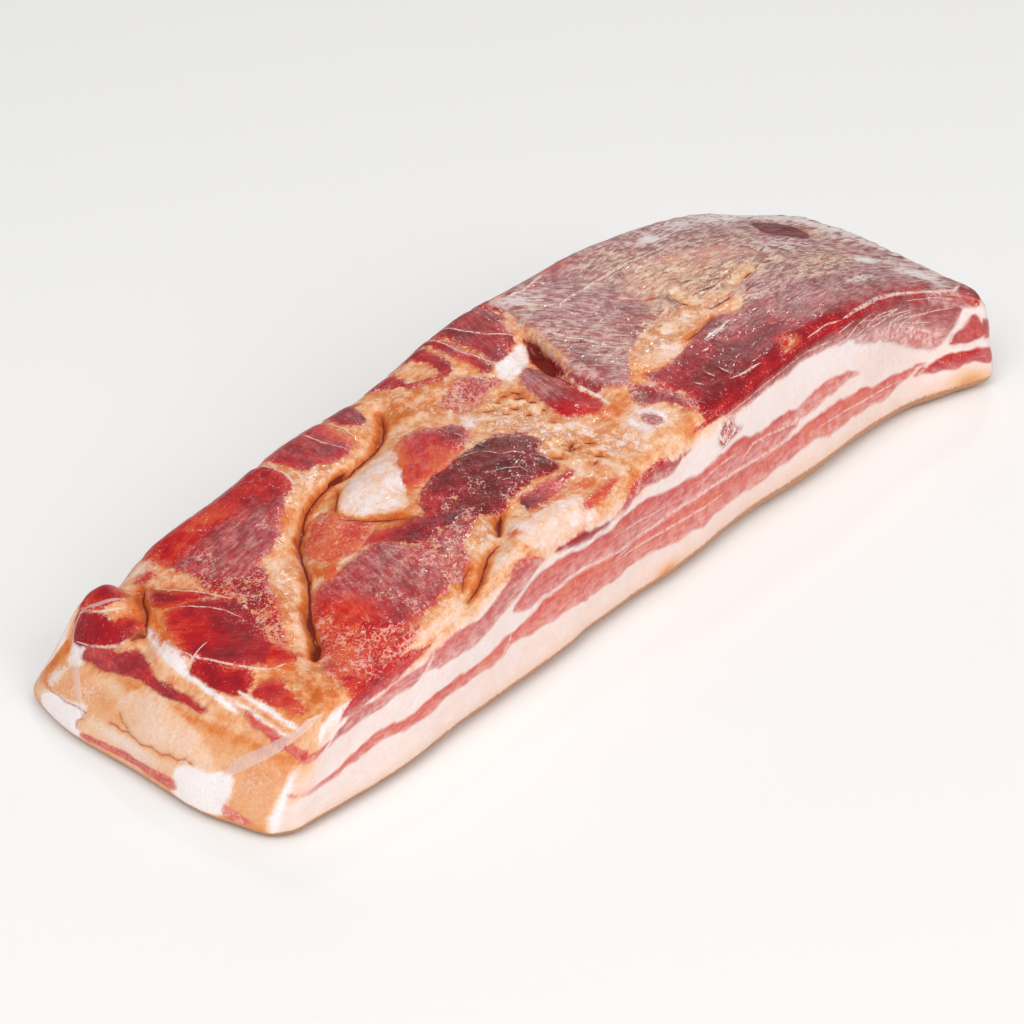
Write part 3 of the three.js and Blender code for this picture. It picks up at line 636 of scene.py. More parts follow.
# Open cracks between the muscles: (half width, depth, line), mm
topCracks = [
    (0.35, 2.0, [(31, 22), (37, 28), (44, 37), (50, 42), (58, 50), (64, 58), (70, 64), (78, 69),
                 (84, 72), (92, 74), (100, 74.5), (106, 73.3), (115, 74), (122, 75.5), (130, 79),
                 (136, 84), (141, 89.5)]),
    (0.9, 1.6, [(32, 22.8), (34.5, 25), (37.5, 28)]),
    (0.5, 0.6, [(38, 28.5), (44, 36), (49, 41)]),
    (0.75, 1.2, [(100, 75.2), (104, 74.9), (108, 74.3)]),
    (0.3, 1.4, [(81, 1), (88, 3.2), (95, 6.5), (101, 9.5), (107, 11)]),
    (0.15, 0.9, [(83, 5.5), (88, 9.5), (93, 11)]),
    (0.6, 1.4, [(111, 14), (114, 17), (118.5, 20)]),
    (0.35, 1.9, [(9, 75), (12, 78), (17, 82), (22, 89), (26, 93)]),
    (1.1, 1.6, [(7.6, 78), (9.6, 76)]),
    (0.3, 0.8, [(87.5, 61.5), (89.5, 57.5), (92.5, 52.4), (96.5, 47.2), (100.5, 43)]),
    (0.2, 0.7, [(89.5, 65), (93, 67.5), (97.4, 70.6)]),
    (0.8, 1.4, [(199.4, 77.5), (197.8, 73), (195.8, 68)]),
    (1.6, 2.2, [(196, 71), (194.2, 65), (191.6, 58)]),
    (0.2, 0.8, [(191.6, 58), (191.2, 53), (190.6, 47)]),
    (0.3, 0.5, [(163, 28), (166.5, 28.8)]),
    (0.5, 0.6, [(162, 16.4), (163.4, 16.8)]),
    (0.35, 0.8, [(253.4, 53.5), (252.3, 49.5), (253.3, 46.5)]),
    (0.45, 0.9, [(255.5, 39.2), (259.5, 38.8), (265, 38.4)]),
    (0.5, 0.7, [(264, 57.6), (266.4, 56.3)]),
    (0.35, 0.5, [(262.5, 62.5), (266, 60.5)]),
    (0.4, 0.7, [(270.5, 51), (273, 50.5), (276, 49)]),
    (0.5, 0.7, [(262.6, 49), (266.5, 47.3), (269.4, 47.5)]),
    (0.4, 0.6, [(272, 36.4), (277, 37.6)]),
    (0.4, 0.6, [(234, 33.6), (242, 33.2), (250, 34.8)]),
    (0.35, 0.5, [(281, 44), (286, 44.8)]),
    (0.35, 0.5, [(296, 47), (301, 46.4)]),
    (0.3, 0.5, [(276, 58), (281, 56.6)]),
    (0.3, 0.4, [(246, 60), (251, 58.6)]),
]

# short gaps in the dry fat: (along, across) of their middles
dryGaps = {
    "places": [(168.5, 62), (172, 62.5), (176, 60.5), (165.5, 55.5), (176, 53.5), (175, 57.5),
               (171.5, 40.5), (163.5, 27), (156.5, 27.5), (170, 49.5), (170, 55.5),
               (162.5, 61.5), (175, 47.5), (169.5, 24.5), (166.5, 18)],
    "halfWidth": 0.3, "depth": 0.7,
    "halfLengths": (0.7, 1.1, 1.6), "turns": (-53, -44, -60, -35),  # mm and degrees, in turn
}


def gapLine(count, x, y):
    turns, halfLengths = dryGaps["turns"], dryGaps["halfLengths"]
    turn, reach = math.radians(turns[count % len(turns)]), halfLengths[count % len(halfLengths)]
    runX, runY = reach * math.cos(turn), reach * math.sin(turn)
    return dryGaps["halfWidth"], dryGaps["depth"], [(x - runX, y - runY), (x + runX, y + runY)]


topCracks += [gapLine(count, x, y) for count, (x, y) in enumerate(dryGaps["places"])]

nearCracks = [
    (0.1, 0.6, [(34.5, 21.6), (37.5, 22.6), (40, 20.6), (43, 21.4), (46, 19.4), (50, 20.6),
                 (54, 19), (58, 20), (61, 20.6), (62.5, 22.4), (65, 23), (67.5, 25.6)]),
    (0.12, 0.4, [(61, 20.6), (63.5, 19.4), (66, 20.4), (69, 19.6)]),
    (0.1, 0.4, [(79, 18), (83, 18.4), (88, 17.2), (92, 17.8), (96, 17.1), (100, 18.5)]),
    (0.1, 0.4, [(79.6, 17.8), (78.6, 15), (79.8, 12.4), (78.4, 9.6)]),
]

# The back and the far end, made by rule like the sides that show
backSide = {
    # the front's streaks stretched and moved, without these short ones
    "stretch": 0.96, "shift": 9, "lift": 0.6,  # mm
    "dropNames": ("creaseStreak", "darkLens", "cornerStreak"),
}

farStreaks = {
    "low": dict(tone=0.68, bloom=0.15, flecks=0.4, upper=[
        (-8, 17.8), (20, 16.6), (48, 18.2), (80, 17.0), (114, 18.4)], lower=[
        (-8, 11.6), (20, 12.4), (48, 11.2), (80, 12.2), (114, 12.6)]),
    "middle": dict(tone=0.6, bloom=0.2, flecks=0.5, upper=[
        (-6, 30.5), (10, 29), (32, 26), (60, 27.4), (88, 25.6), (114, 28.4)], lower=[
        (-6, 21), (10, 20.6), (32, 20.4), (60, 22.2), (88, 21.4), (114, 22.6)]),
    "upper": dict(tone=0.5, bloom=0.25, flecks=0.4, upper=[
        (16, 34), (34, 37), (60, 38.5), (90, 38), (110, 36)], lower=[
        (16, 33.4), (34, 32.2), (60, 33), (90, 32.2), (110, 35)]),
}

# Patches of fat of another colour: (chart, fatTone, how much of the mottling stays, outline)
fatPatches = [
    ("top", 0.24, 0.5, [(90, 64), (97, 69), (110, 71), (122, 71.5), (125, 69), (121, 62),
                        (114, 55), (108, 48), (102, 46.5), (96, 52), (92, 58)]),
    ("top", 0.26, 0.6, [(115, 12), (124, 13.5), (136, 12.5), (145, 9), (146, 3), (140, -4),
                        (126, -5), (117, 0), (114, 6)]),
    ("top", 0.08, 0.4, [(179, 67), (183, 75), (190, 75), (197, 76.5), (195, 70), (188, 66.5)]),
    ("top", 0.14, 0.5, [(9, 0.5), (15, 1.6), (22, 1), (30, -2), (18, -4), (8, -3)]),
    ("top", 0.34, 0.7, [(181, 16), (184, 23), (192, 25), (197, 20), (197, 12), (192, 8.5),
                        (185, 9.5)]),
    ("top", 0.17, 0.5, [(185.5, 20), (190, 22.8), (195, 21.6), (196.8, 16), (193.6, 11.4),
                        (188.6, 11), (185.4, 15)]),
    ("top", 0.5, 0.8, [(214, 43.5), (222, 47.5), (232, 48.5), (246, 47.5), (256, 45), (256, 39),
                        (247.5, 35.5), (236, 34), (232, 40), (221, 41.5)]),
    ("top", 0.4, 0.7, [(212, 38), (216, 42.5), (225, 41), (229, 36), (228, 31), (219, 30.5)]),
    ("near", 0.0, 0.15, [(20, 8), (20.3, 22), (29, 22.4), (37, 19), (37, 7), (28, 5)]),
    ("near", 0.02, 0.3, [(77, 6), (79.5, 12), (79.5, 20), (88, 19), (94, 18.5), (97, 12),
                         (94, 6)]),
    ("near", 0.05, 0.3, [(91, 38), (92, 34.5), (97, 33.5), (100, 38), (97, 42), (92, 42)]),
    ("near", 0.2, 0.3, [(-2, 6), (-2, 34), (4.4, 33), (5, 6)]),
    ("near", 0.4, 0.5, [(27, 22), (29, 27), (34, 31.5), (42, 36), (52, 38), (62, 38), (68, 33),
                         (70, 27), (66, 23.5), (60, 20.5), (50, 20.5), (40, 21.3)]),
]

frontSpots = {
    "bloom": [(322, 32, 22, 9, 0.06), (275, 37, 16, 4, 0.15), (6, 22, 8, 3, 0.3),
              (5, 36, 8, 3, 0.2), (230, 39.5, 40, 1.5, -0.4)],
    "tone": [(6, 22, 8, 3, 0.12), (345, 14, 14, 5, -0.06), (300, 36, 40, 5, -0.08)],
    "flecks": [(320, 30, 20, 8, 0.25), (212, 32, 5, 3, 0.5), (165, 36, 8, 2, 0.5)],
}

nearSpots = {
    # the first list is painted sheen, the film's whitish reflection on the thin end
    "paintedSheen": [(46, 29, 12, 5, 0.45), (84, 26, 10, 8, 0.4), (62, 16, 20, 4, 0.5),
             (14, 24, 8, 12, 0.3), (97, 25, 3, 10, 0.7), (34, 20, 6, 5, 0.6)],
    "stain": [(64, 38.5, 5, 3, 0.3), (38, 38.5, 14, 3, 0.4), (12, 30, 9, 9, 0.2)],
}

fatSpots = {
    "near": [(88, 29, 15, 10, 0.05), (50, 30, 16, 8, -0.04), (14, 26, 9, 12, 0.02),
             (27, 36, 8, 5, 0.08), (3.6, 20, 1.2, 20, -0.3), (103, 26, 4, 12, 0.25),
             (58, 15, 20, 5, -0.27), (99, 12, 6, 6, -0.2), (75, 34, 10, 5, -0.14),
             (58, 8, 24, 4, -0.12)],
    "front": [(3, 34, 6, 7, 0.28), (176, 5, 5, 3, 0.4), (345, 6, 8, 4, 0.35), (2, 22, 5, 3, 0.18),
              (260, 31, 50, 5, -0.06), (180, 12, 180, 4, 0.04), (300, 24, 40, 8, 0.03)],
    "byRind": 0.12,  # smoke has reached the fat by the rind
}

# Where the fat is dry and flaky: (along, across, half along, half across, amount)
flakySpots = [
    (165, 48, 11, 26, 1.0), (152, 84, 14, 14, 0.5), (268, 55, 34, 14, 0.85), (232, 42, 18, 7, 0.6),
    (178, 17, 10, 10, 0.4), (110, 18, 9, 5, 0.6), (44, 46, 8, 12, 0.5), (320, 34, 16, 14, 0.5),
    (105, 82, 16, 4, 0.6), (62, 55, 10, 7, 0.4), (20, 14, 9, 8, 0.5), (205, 60, 6, 24, 0.4),
]

# How wide and how strong the parts of the relief are, in mm
fineRelief = {
    # noises: (height, size, shift of the noise)
    "lumps": (0.28, 9, 5.1), "dents": (0.1, 3, 9.4), "flakes": (0.42, 3.2, 2.2),
    "crumbs": (0.42, 2.1, 12.6), "ripples": (0.42, 2.0, 7.7), "rippleLength": 7,
    "muscleRise": 0.55, "muscleEdge": (-0.6, 2.2), "muscleAtSides": 0.35, "flakesLessOnLean": 0.6,
    "veinRise": 0.16, "veinEdge": (-0.2, 0.5), "crackWidth": 0.9,
    "boxRoom": 0.45,  # what is left for the film between the meat and the CAD box
}

# How the outlines above are laid down on the slab; edges are (from, to) in mm
paintRules = {
    "warps": [(1.0, 7), (0.5, 2.3)], "warpShifts": (3.3, 17.7),  # (amount, size) of outline wobbles
    "start": {"tone": 0.55, "bloom": 0.0, "flecks": 0.3, "turn": 0.0, "stain": 0.3},
    "lookEdge": (-1.5, 0.4), "turnEdge": -0.3, "solidMost": 40,
    # a streak is deeper red along its upper edge
    "streakFade": 0.3, "streakMiddle": 0.4, "streakEdge": -1, "streakLeast": 0.5,
    # the look of a cut side begins this far under the top's edge
    "sideRim": 7, "nearRim": 4, "nearSide": (0.65, 0.2), "nearSideFrom": (14, 20),
    "thinEndSide": 0.55, "thinEnd": (5, 15), "rindEdge": (3.2, 6.6),
    # how smoked the fat is on the top, less so on cut sides and more so at the near end
    "fatOnTop": 0.53, "fatAtSides": -0.37, "fatAtNearEnd": 0.39,
    "fatPatchEdge": (-1.2, 0.8), "byRindEdge": (4, 11), "flakyBase": 0.3,
    "lineSway": 0.4, "lineEdge": (-0.3, 0.6), "lineSlope": 1.5, "lineClean": 0.85,
    # strands in the fat follow these of the top's cracks
    "seamCracks": (0, 4, 7), "seamReach": 26, "seamLean": -0.3, "seamSide": 0.1,
}


touching = 1e-6  # mm; a place this near to a face of the block is on it
outOfChart = -1000.0  # mm; where a chart puts the places it doesn't show


def chartsOf(places):
    # each place as seen flat on each side of the block, sides folded out at their shared edges
    length, width, thickness = blockSize
    x, y, z = places.T
    fromBack, fromFar, below = width - y, length - x, thickness - z
    onTop = below < touching
    onFront, onBack = y < touching, fromBack < touching
    onNear, onFar = x < touching, fromFar < touching
    alongTop = np.where(onNear & ~onTop, -below, np.where(onFar & ~onTop, length + below, x))
    acrossTop = np.where(onFront & ~onTop, -below, np.where(onBack & ~onTop, width + below, y))
    alongFront = np.where(onNear, -y, np.where(onFar, length + y, x))
    alongBack = np.where(onNear, -fromBack, np.where(onFar, length + fromBack, x))
    acrossNear = np.where(onFront, -x, np.where(onBack, width + x, y))
    acrossFar = np.where(onFront, -fromFar, np.where(onBack, width + fromFar, y))
    lowSide = z < touching

    def chart(across, up, leftOut):
        return np.stack([across, np.where(leftOut, outOfChart, up)], axis=1)

    def upFrom(edge):
        return np.where(onTop, thickness + edge, np.where(lowSide, outOfChart, z))

    return {
        "top": chart(alongTop, acrossTop, lowSide),
        "front": chart(alongFront, upFrom(y), onBack & ~onFront),
        "back": chart(alongBack, upFrom(fromBack), onFront & ~onBack),
        "near": chart(acrossNear, upFrom(x), onFar & ~onNear),
        "far": chart(acrossFar, upFrom(fromFar), onNear & ~onFar),
    }


def smoothOutline(points):
    # closed curve through the points
    here = np.array(points, float)
    before, after, past = (np.roll(here, turn, axis=0) for turn in (1, -1, -2))
    steps = []
    for t in (0, 0.25, 0.5, 0.75):
        curve = 2 * here + (after - before) * t
        curve += (2 * before - 5 * here + 4 * after - past) * t ** 2
        curve += (3 * here - before - 3 * after + past) * t ** 3
        steps.append(curve / 2)
    return np.stack(steps, axis=1).reshape(-1, 2)


def streakOutline(upper, lower, step=3):
    # closed outline between an upper and a lower edge
    top, bottom = np.array(upper, float), np.array(lower, float)
    ahead = np.arange(top[0, 0], top[-1, 0] + step, step)
    back = np.arange(bottom[0, 0], bottom[-1, 0] + step, step)[::-1]
    edges = [np.stack([ahead, curveThrough(upper)(ahead)], axis=1),
             np.stack([back, curveThrough(lower)(back)], axis=1)]
    return np.concatenate(edges)


outlineReach = 12  # mm; further out an outline counts for nothing
asideMost = 9.0  # half widths; further off a line all places count the same
thinAtEnds = 0.3  # share of a line's width that is left at its ends
viewSlant = np.array([1.13, 1.0])  # mm along and across that 1 mm of height moves a place in view


def insideBy(spots, outline):
    # how far inside a closed outline each spot lies, in mm, below 0 outside it
    depth = np.full(len(spots), -float(outlineReach))
    low, high = outline.min(axis=0) - outlineReach, outline.max(axis=0) + outlineReach
    near = np.all((spots > low) & (spots < high), axis=1)
    x, y = spots[near].T
    inside = np.zeros(len(x), bool)
    corners = list(outline) + [outline[0]]
    for (ax, ay), (bx, by) in zip(corners[:-1], corners[1:]):
        if ay != by:
            inside ^= ((ay > y) != (by > y)) & (x < ax + (y - ay) * (bx - ax) / (by - ay))
    away = distanceToLine(x, y, corners)
    depth[near] = np.where(inside, away, -np.minimum(away, outlineReach))
    return depth


def nearLines(spots, lines):
    # for the nearest of some lines with a width: how far outside it each spot lies in mm, and
    # how far off its middle in half widths, with a sign, so that thin lines stay sharp
    gap = np.full(len(spots), float(outlineReach))
    aside = np.full(len(spots), asideMost)
    for halfWidth, line in lines:
        corners = np.array(line, float)
        low, high = corners.min(axis=0) - outlineReach, corners.max(axis=0) + outlineReach
        near = np.flatnonzero(np.all((spots > low) & (spots < high), axis=1))
        lengths = np.hypot(*np.diff(corners, axis=0).T)
        done = 0
        for start, end, length in zip(corners[:-1], corners[1:], lengths):
            ahead = (end - start) / length
            run = (spots[near] - start) @ ahead
            off = (spots[near] - start) @ (-ahead[1], ahead[0])
            share = np.clip((done + run) / lengths.sum(), 0, 1)
            swell = np.sqrt(np.sin(np.pi * share))
            width = halfWidth * (thinAtEnds + (1 - thinAtEnds) * swell)
            away = np.hypot(np.clip(run, 0, length) - run, off) - width
            closer = away < gap[near]
            gap[near[closer]] = away[closer]
            aside[near[closer]] = np.clip(off[closer] / width[closer], -asideMost, asideMost)
            done += length
    return gap, aside


def spotAmount(spots, places):
    total = np.zeros(len(spots))
    for alongSpot, acrossSpot, halfAlong, halfAcross, amount in places:
        offAlong = (spots[:, 0] - alongSpot) / halfAlong
        offAcross = (spots[:, 1] - acrossSpot) / halfAcross
        total += amount * bell(np.hypot(offAlong, offAcross))
    return total


def paintSlab(places):
    # every field of the slab's look, one value a point
    rules = paintRules
    charts = chartsOf(places)
    length, width, thickness = blockSize
    # the outlines are drawn as they are seen, so what rises moves away from the viewer
    rise = reliefOfTop(places[:, 0] / length, places[:, 1] / width)
    rise *= (places[:, 2] / thickness) ** block["reliefCurve"]
    charts["top"] = charts["top"] + rise[:, None] * viewSlant
    drift = np.stack([sum(amount * softNoise(places, size, shift)
                          for amount, size in rules["warps"])
                      for shift in rules["warpShifts"]], axis=1)
    moved = {name: spots + drift for name, spots in charts.items()}
    fields = {name: np.full(len(places), value) for name, value in rules["start"].items()}
    fields["lean"] = np.full(len(places), -float(outlineReach))

    def paint(chart, muscle, outline):
        depth = insideBy(moved[chart], outline)
        if "cut" in muscle:
            fields["lean"] = np.minimum(fields["lean"], np.maximum(-depth, -muscle["cut"]))
        else:
            leanDepth = np.minimum(depth, muscle.get("solid", rules["solidMost"]))
            fields["lean"] = np.maximum(fields["lean"], leanDepth)
        weight = smoothStep(depth, *rules["lookEdge"])
        for name in ("tone", "bloom", "flecks"):
            fields[name] += (muscle[name] - fields[name]) * weight
        fields["turn"][depth > rules["turnEdge"]] = muscle.get("turn", 0)

    def fadeDown(spots, streak, outline):
        upper, lower = (curveThrough(streak[edge])(spots[:, 0]) for edge in ("upper", "lower"))
        height = (spots[:, 1] - lower) / np.maximum(upper - lower, rules["streakLeast"])
        inside = insideBy(spots, outline) > rules["streakEdge"]
        fade = rules["streakMiddle"] - np.clip(height, 0, 1)
        fields["bloom"][inside] += rules["streakFade"] * fade[inside]

    for muscle in topMuscles.values():
        paint("top", muscle, smoothOutline(muscle["outline"]))
    for name, streak in frontStreaks.items():
        outline = streakOutline(streak["upper"], streak["lower"])
        paint("front", streak, outline)
        fadeDown(charts["front"], streak, outline)
        if name not in backSide["dropNames"]:
            shift = (backSide["shift"], backSide["lift"])
            paint("back", streak, outline * (backSide["stretch"], 1) + shift)
    for streak in farStreaks.values():
        paint("far", streak, streakOutline(streak["upper"], streak["lower"]))
    for chart, patches in (("front", frontPatches), ("near", nearPatches)):
        for patch in patches.values():
            paint(chart, patch, smoothOutline(patch["outline"]))

    # how far each point is on a cut side, 1, or on the top, 0
    x, y, z = places.T
    onSides = np.minimum(y, width - y) < touching
    onEnds = np.minimum(x, length - x) < touching
    onNear = x < touching
    down = thickness - z
    side = np.where(onSides | onEnds, smoothStep(down, 0, rules["sideRim"]), 0)
    nearEnd = np.where(onNear, smoothStep(down, 0, rules["nearRim"]), 0)
    upper, further = rules["nearSide"]
    nearSide = upper + further * smoothStep(down, *rules["nearSideFrom"])
    byThinEnd = 1 - smoothStep(charts["top"][:, 0], *rules["thinEnd"])
    fields["side"] = np.maximum(side * np.where(onNear, nearSide, 1),
                                rules["thinEndSide"] * byThinEnd)
    fields["rind"] = 1 - smoothStep(z, *rules["rindEdge"])

    fatTone = rules["fatOnTop"] + rules["fatAtSides"] * side + rules["fatAtNearEnd"] * nearEnd
    for chart, tone, mottle, outline in fatPatches:
        depth = insideBy(moved[chart], smoothOutline(outline))
        weight = smoothStep(depth, *rules["fatPatchEdge"])
        fatTone += (tone - fatTone) * weight
        fields["side"] = np.maximum(fields["side"], weight * (1 - mottle))
    fatTone += spotAmount(charts["top"], topSpots["fatTone"]) * (1 - side)
    fatTone += spotAmount(charts["near"], fatSpots["near"]) * nearEnd
    fatTone += spotAmount(charts["front"], fatSpots["front"]) * side
    fatTone += fatSpots["byRind"] * side * (1 - smoothStep(z, *rules["byRindEdge"]))
    swayed = moved["top"] * rules["lineSway"] + charts["top"] * (1 - rules["lineSway"])
    gap = nearLines(swayed, fatLines)[0]
    weight = 1 - smoothStep(gap, *rules["lineEdge"])
    fields["lean"] = np.minimum(fields["lean"], gap * rules["lineSlope"])
    fields["side"] = np.maximum(fields["side"], weight * rules["lineClean"])
    fields["fatTone"] = fatTone * (1 - weight)
    for name in ("tone", "bloom", "dry", "paintedSheen", "flecks", "stain"):
        spots = spotAmount(moved["top"], topSpots[name]) * (1 - side)
        spots += spotAmount(moved["front"], frontSpots.get(name, [])) * side
        spots += spotAmount(moved["near"], nearSpots.get(name, [])) * nearEnd
        fields[name] = np.clip(fields.get(name, 0) + spots, 0, 1)

    flaky = rules["flakyBase"] + spotAmount(charts["top"], flakySpots)
    fields["flaky"] = np.clip(flaky, 0, 1) * (1 - side)
    keepNearest(fields, "vein", nearLines(swayed, topVeins), nearLines(charts["front"], frontVeins))
    keepNearest(fields, "crack", *[
        nearLines(charts[chart], [(half, line) for half, depth, line in cracks])
        for chart, cracks in (("top", topCracks), ("near", nearCracks))])
    fields["charts"] = charts
    fields["fibres"] = fibresOf(places, charts["top"], fields)
    return fields


def keepNearest(fields, name, first, second):
    # of two sets of lines, what the nearer one gives at each point
    nearer = first[0] < second[0]
    fields[name] = np.where(nearer, first[0], second[0])
    fields[name + "Aside"] = np.where(nearer, first[1], second[1])


def fibresOf(places, spots, fields):
    # places turned so that the first runs along the muscle's fibres, or along the seam in fat
    rules = paintRules
    x, y, z = places.T
    turn = np.radians(fields["turn"])
    along, over = x * np.cos(turn) + y * np.sin(turn), y * np.cos(turn) - x * np.sin(turn)
    nearest = np.full(len(x), np.inf)
    seamAlong, seamOver = x.copy(), y.copy()
    for number in rules["seamCracks"]:
        line = topCracks[number][-1]
        run = 0
        for (ax, ay), (bx, by) in zip(line[:-1], line[1:]):
            length = math.hypot(bx - ax, by - ay)
            t = ((spots[:, 0] - ax) * (bx - ax) + (spots[:, 1] - ay) * (by - ay)) / length
            aside = ((spots[:, 1] - ay) * (bx - ax) - (spots[:, 0] - ax) * (by - ay)) / length
            away = np.hypot(np.clip(t, 0, length) - t, aside)
            closer = away < nearest
            nearest[closer] = away[closer]
            seamAlong[closer] = run + t[closer]
            seamOver[closer] = aside[closer]
            run += length
    bySeam = (fields["lean"] < rules["seamLean"]) & (nearest < rules["seamReach"])
    bySeam &= fields["side"] < rules["seamSide"]
    return np.stack([np.where(bySeam, seamAlong, along), np.where(bySeam, seamOver, over), z],
                    axis=1)


def fineHeights(places, fields):
    # the fine relief of the meat, in mm out of the slab's plain form
    fine = fineRelief

    def bumps(name, spots=places):
        height, size, shift = fine[name]
        return height * softNoise(spots, size, shift)

    top = 1 - fields["side"]
    lean = smoothStep(fields["lean"], *fine["muscleEdge"])
    byTop = fine["muscleAtSides"] + (1 - fine["muscleAtSides"]) * top
    rise = fine["muscleRise"] * (lean - 0.5) * byTop
    rise += fine["veinRise"] * (1 - smoothStep(fields["vein"], *fine["veinEdge"]))
    rise += bumps("lumps")
    rise += bumps("dents")
    flakes = bumps("flakes") + bumps("crumbs")
    rise += flakes * fields["flaky"] * (1 - fine["flakesLessOnLean"] * lean)
    stretched = fields["fibres"] / (fine["rippleLength"] / fine["ripples"][1], 1, 1)
    rise += bumps("ripples", stretched) * fields["bloom"] * top
    for chart, cracks in (("top", topCracks), ("near", nearCracks)):
        for halfWidth, depth, line in cracks:
            gap = np.maximum(nearLines(fields["charts"][chart], [(halfWidth, line)])[0], 0)
            rise -= depth * bell(gap / fine["crackWidth"])
    return rise


fields = paintSlab(blockPlaces)
print(f"fields painted: lean over {np.mean(fields['lean'] > 0):.0%} of the points")


# The dressed slab as one Blender mesh, inside the CAD slab's box

def fitInBox(places, room):
    # mm places of the form to metres in the CAD slab's box, with some room left round them
    low, high = (np.array(corner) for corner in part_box(slabNode))
    low, high = low + (room, room, 0), high - room
    start, end = places.min(axis=0), places.max(axis=0)
    scale = (high - low) / (end - start)

    return lambda points: low + (points - start) * scale


def newPiece(name, points, faces):
    mesh = bpy.data.meshes.new(name)
    mesh.from_pydata(np.asarray(points).tolist(), [], faces)
    mesh.shade_smooth()
    piece = bpy.data.objects.new(name, mesh)
    bpy.context.scene.collection.objects.link(piece)
    return piece


def pointNormals(piece):
    normals = np.empty(3 * len(piece.data.vertices))
    piece.data.vertex_normals.foreach_get("vector", normals)
    return normals.reshape(-1, 3)


def movePoints(piece, points):
    piece.data.vertices.foreach_set("co", points.ravel())
    piece.data.update()


def giveField(piece, name, values):
    # one number or one vector for each point, read by the material under this name
    kind, key = ("FLOAT_VECTOR", "vector") if values.ndim == 2 else ("FLOAT", "value")
    piece.data.attributes.new(name, kind, "POINT").data.foreach_set(key, values.ravel())


slab = newPiece("smoked_slab", slabPlaces, skinFaces)
heights = fineHeights(blockPlaces, fields)
meatPlaces = slabPlaces + pointNormals(slab) * heights[:, None]
meatPlaces[:, 2] = np.maximum(meatPlaces[:, 2], slabPlaces[:, 2].min())
toFrame = fitInBox(meatPlaces, fineRelief["boxRoom"] * mm)
movePoints(slab, toFrame(meatPlaces))

for name in ("lean", "tone", "bloom", "dry", "paintedSheen", "flecks", "fatTone", "stain", "flaky",
             "vein", "veinAside", "crack", "crackAside", "rind", "side", "fibres"):
    giveField(slab, name, fields[name])
giveField(slab, "blockPlace", blockPlaces)
print(f"meat piece: {len(slab.data.vertices)} points")


# material nodes

def put(tree, kind, inputs=None, **settings):
    # a node, its inputs given as numbers, colours or the sockets that feed them
    node = tree.nodes.new(kind)
    for name, value in settings.items():
        setattr(node, name, value)
    for name, value in (inputs or {}).items():
        if isinstance(value, bpy.types.NodeSocket):
            tree.links.new(value, node.inputs[name])
        else:
            node.inputs[name].default_value = value
    return node


def field(tree, name, vector=False):
    node = put(tree, "ShaderNodeAttribute", attribute_name=name)
    return node.outputs["Vector" if vector else "Fac"]


def sums(tree, how, first, second=0.0, third=0.0, clamp=False):
    inputs = {0: first, 1: second}
    if how == "MULTIPLY_ADD":
        inputs[2] = third
    return put(tree, "ShaderNodeMath", inputs, operation=how, use_clamp=clamp).outputs[0]


def scaled(tree, vector, factors):
    node = put(tree, "ShaderNodeVectorMath", {0: vector, 1: factors}, operation="MULTIPLY")
    return node.outputs[0]


def noise(tree, vector, size, detail=2.0, rough=0.5, output="Fac"):
    # soft noise round 0.5, its lumps about this many mm
    inputs = {"Vector": vector, "Scale": 1 / size, "Detail": detail, "Roughness": rough}
    return put(tree, "ShaderNodeTexNoise", inputs).outputs[output]


def cells(tree, vector, size, feature="DISTANCE_TO_EDGE"):
    # cells of about this many mm: how far in from their edges, or a random grey for each
    node = put(tree, "ShaderNodeTexVoronoi", {"Vector": vector, "Scale": 1 / size},
               feature=feature)
    return node.outputs["Distance" if feature == "DISTANCE_TO_EDGE" else "Color"]


def between(tree, value, low, high, start=0.0, end=1.0):
    # start below low, end above high, smooth between
    inputs = {"Value": value, "From Min": low, "From Max": high, "To Min": start, "To Max": end}
    return put(tree, "ShaderNodeMapRange", inputs, interpolation_type="SMOOTHSTEP").outputs[0]


def blend(tree, factor, first, second):
    # colours, each as numbers or a socket
    def colour(value):
        return value if isinstance(value, bpy.types.NodeSocket) else (*value, 1)

    inputs = {0: factor, 6: colour(first), 7: colour(second)}
    return put(tree, "ShaderNodeMix", inputs, data_type="RGBA").outputs[2]


def ramp(tree, value, stops):
    node = put(tree, "ShaderNodeValToRGB", {0: value})
    elements = node.color_ramp.elements
    elements[0].position, elements[1].position = stops[0][0], stops[-1][0]
    elements[0].color, elements[1].color = (*stops[0][1], 1), (*stops[-1][1], 1)
    for place, colour in stops[1:-1]:
        elements.new(place).color = (*colour, 1)
    return node.outputs[0]


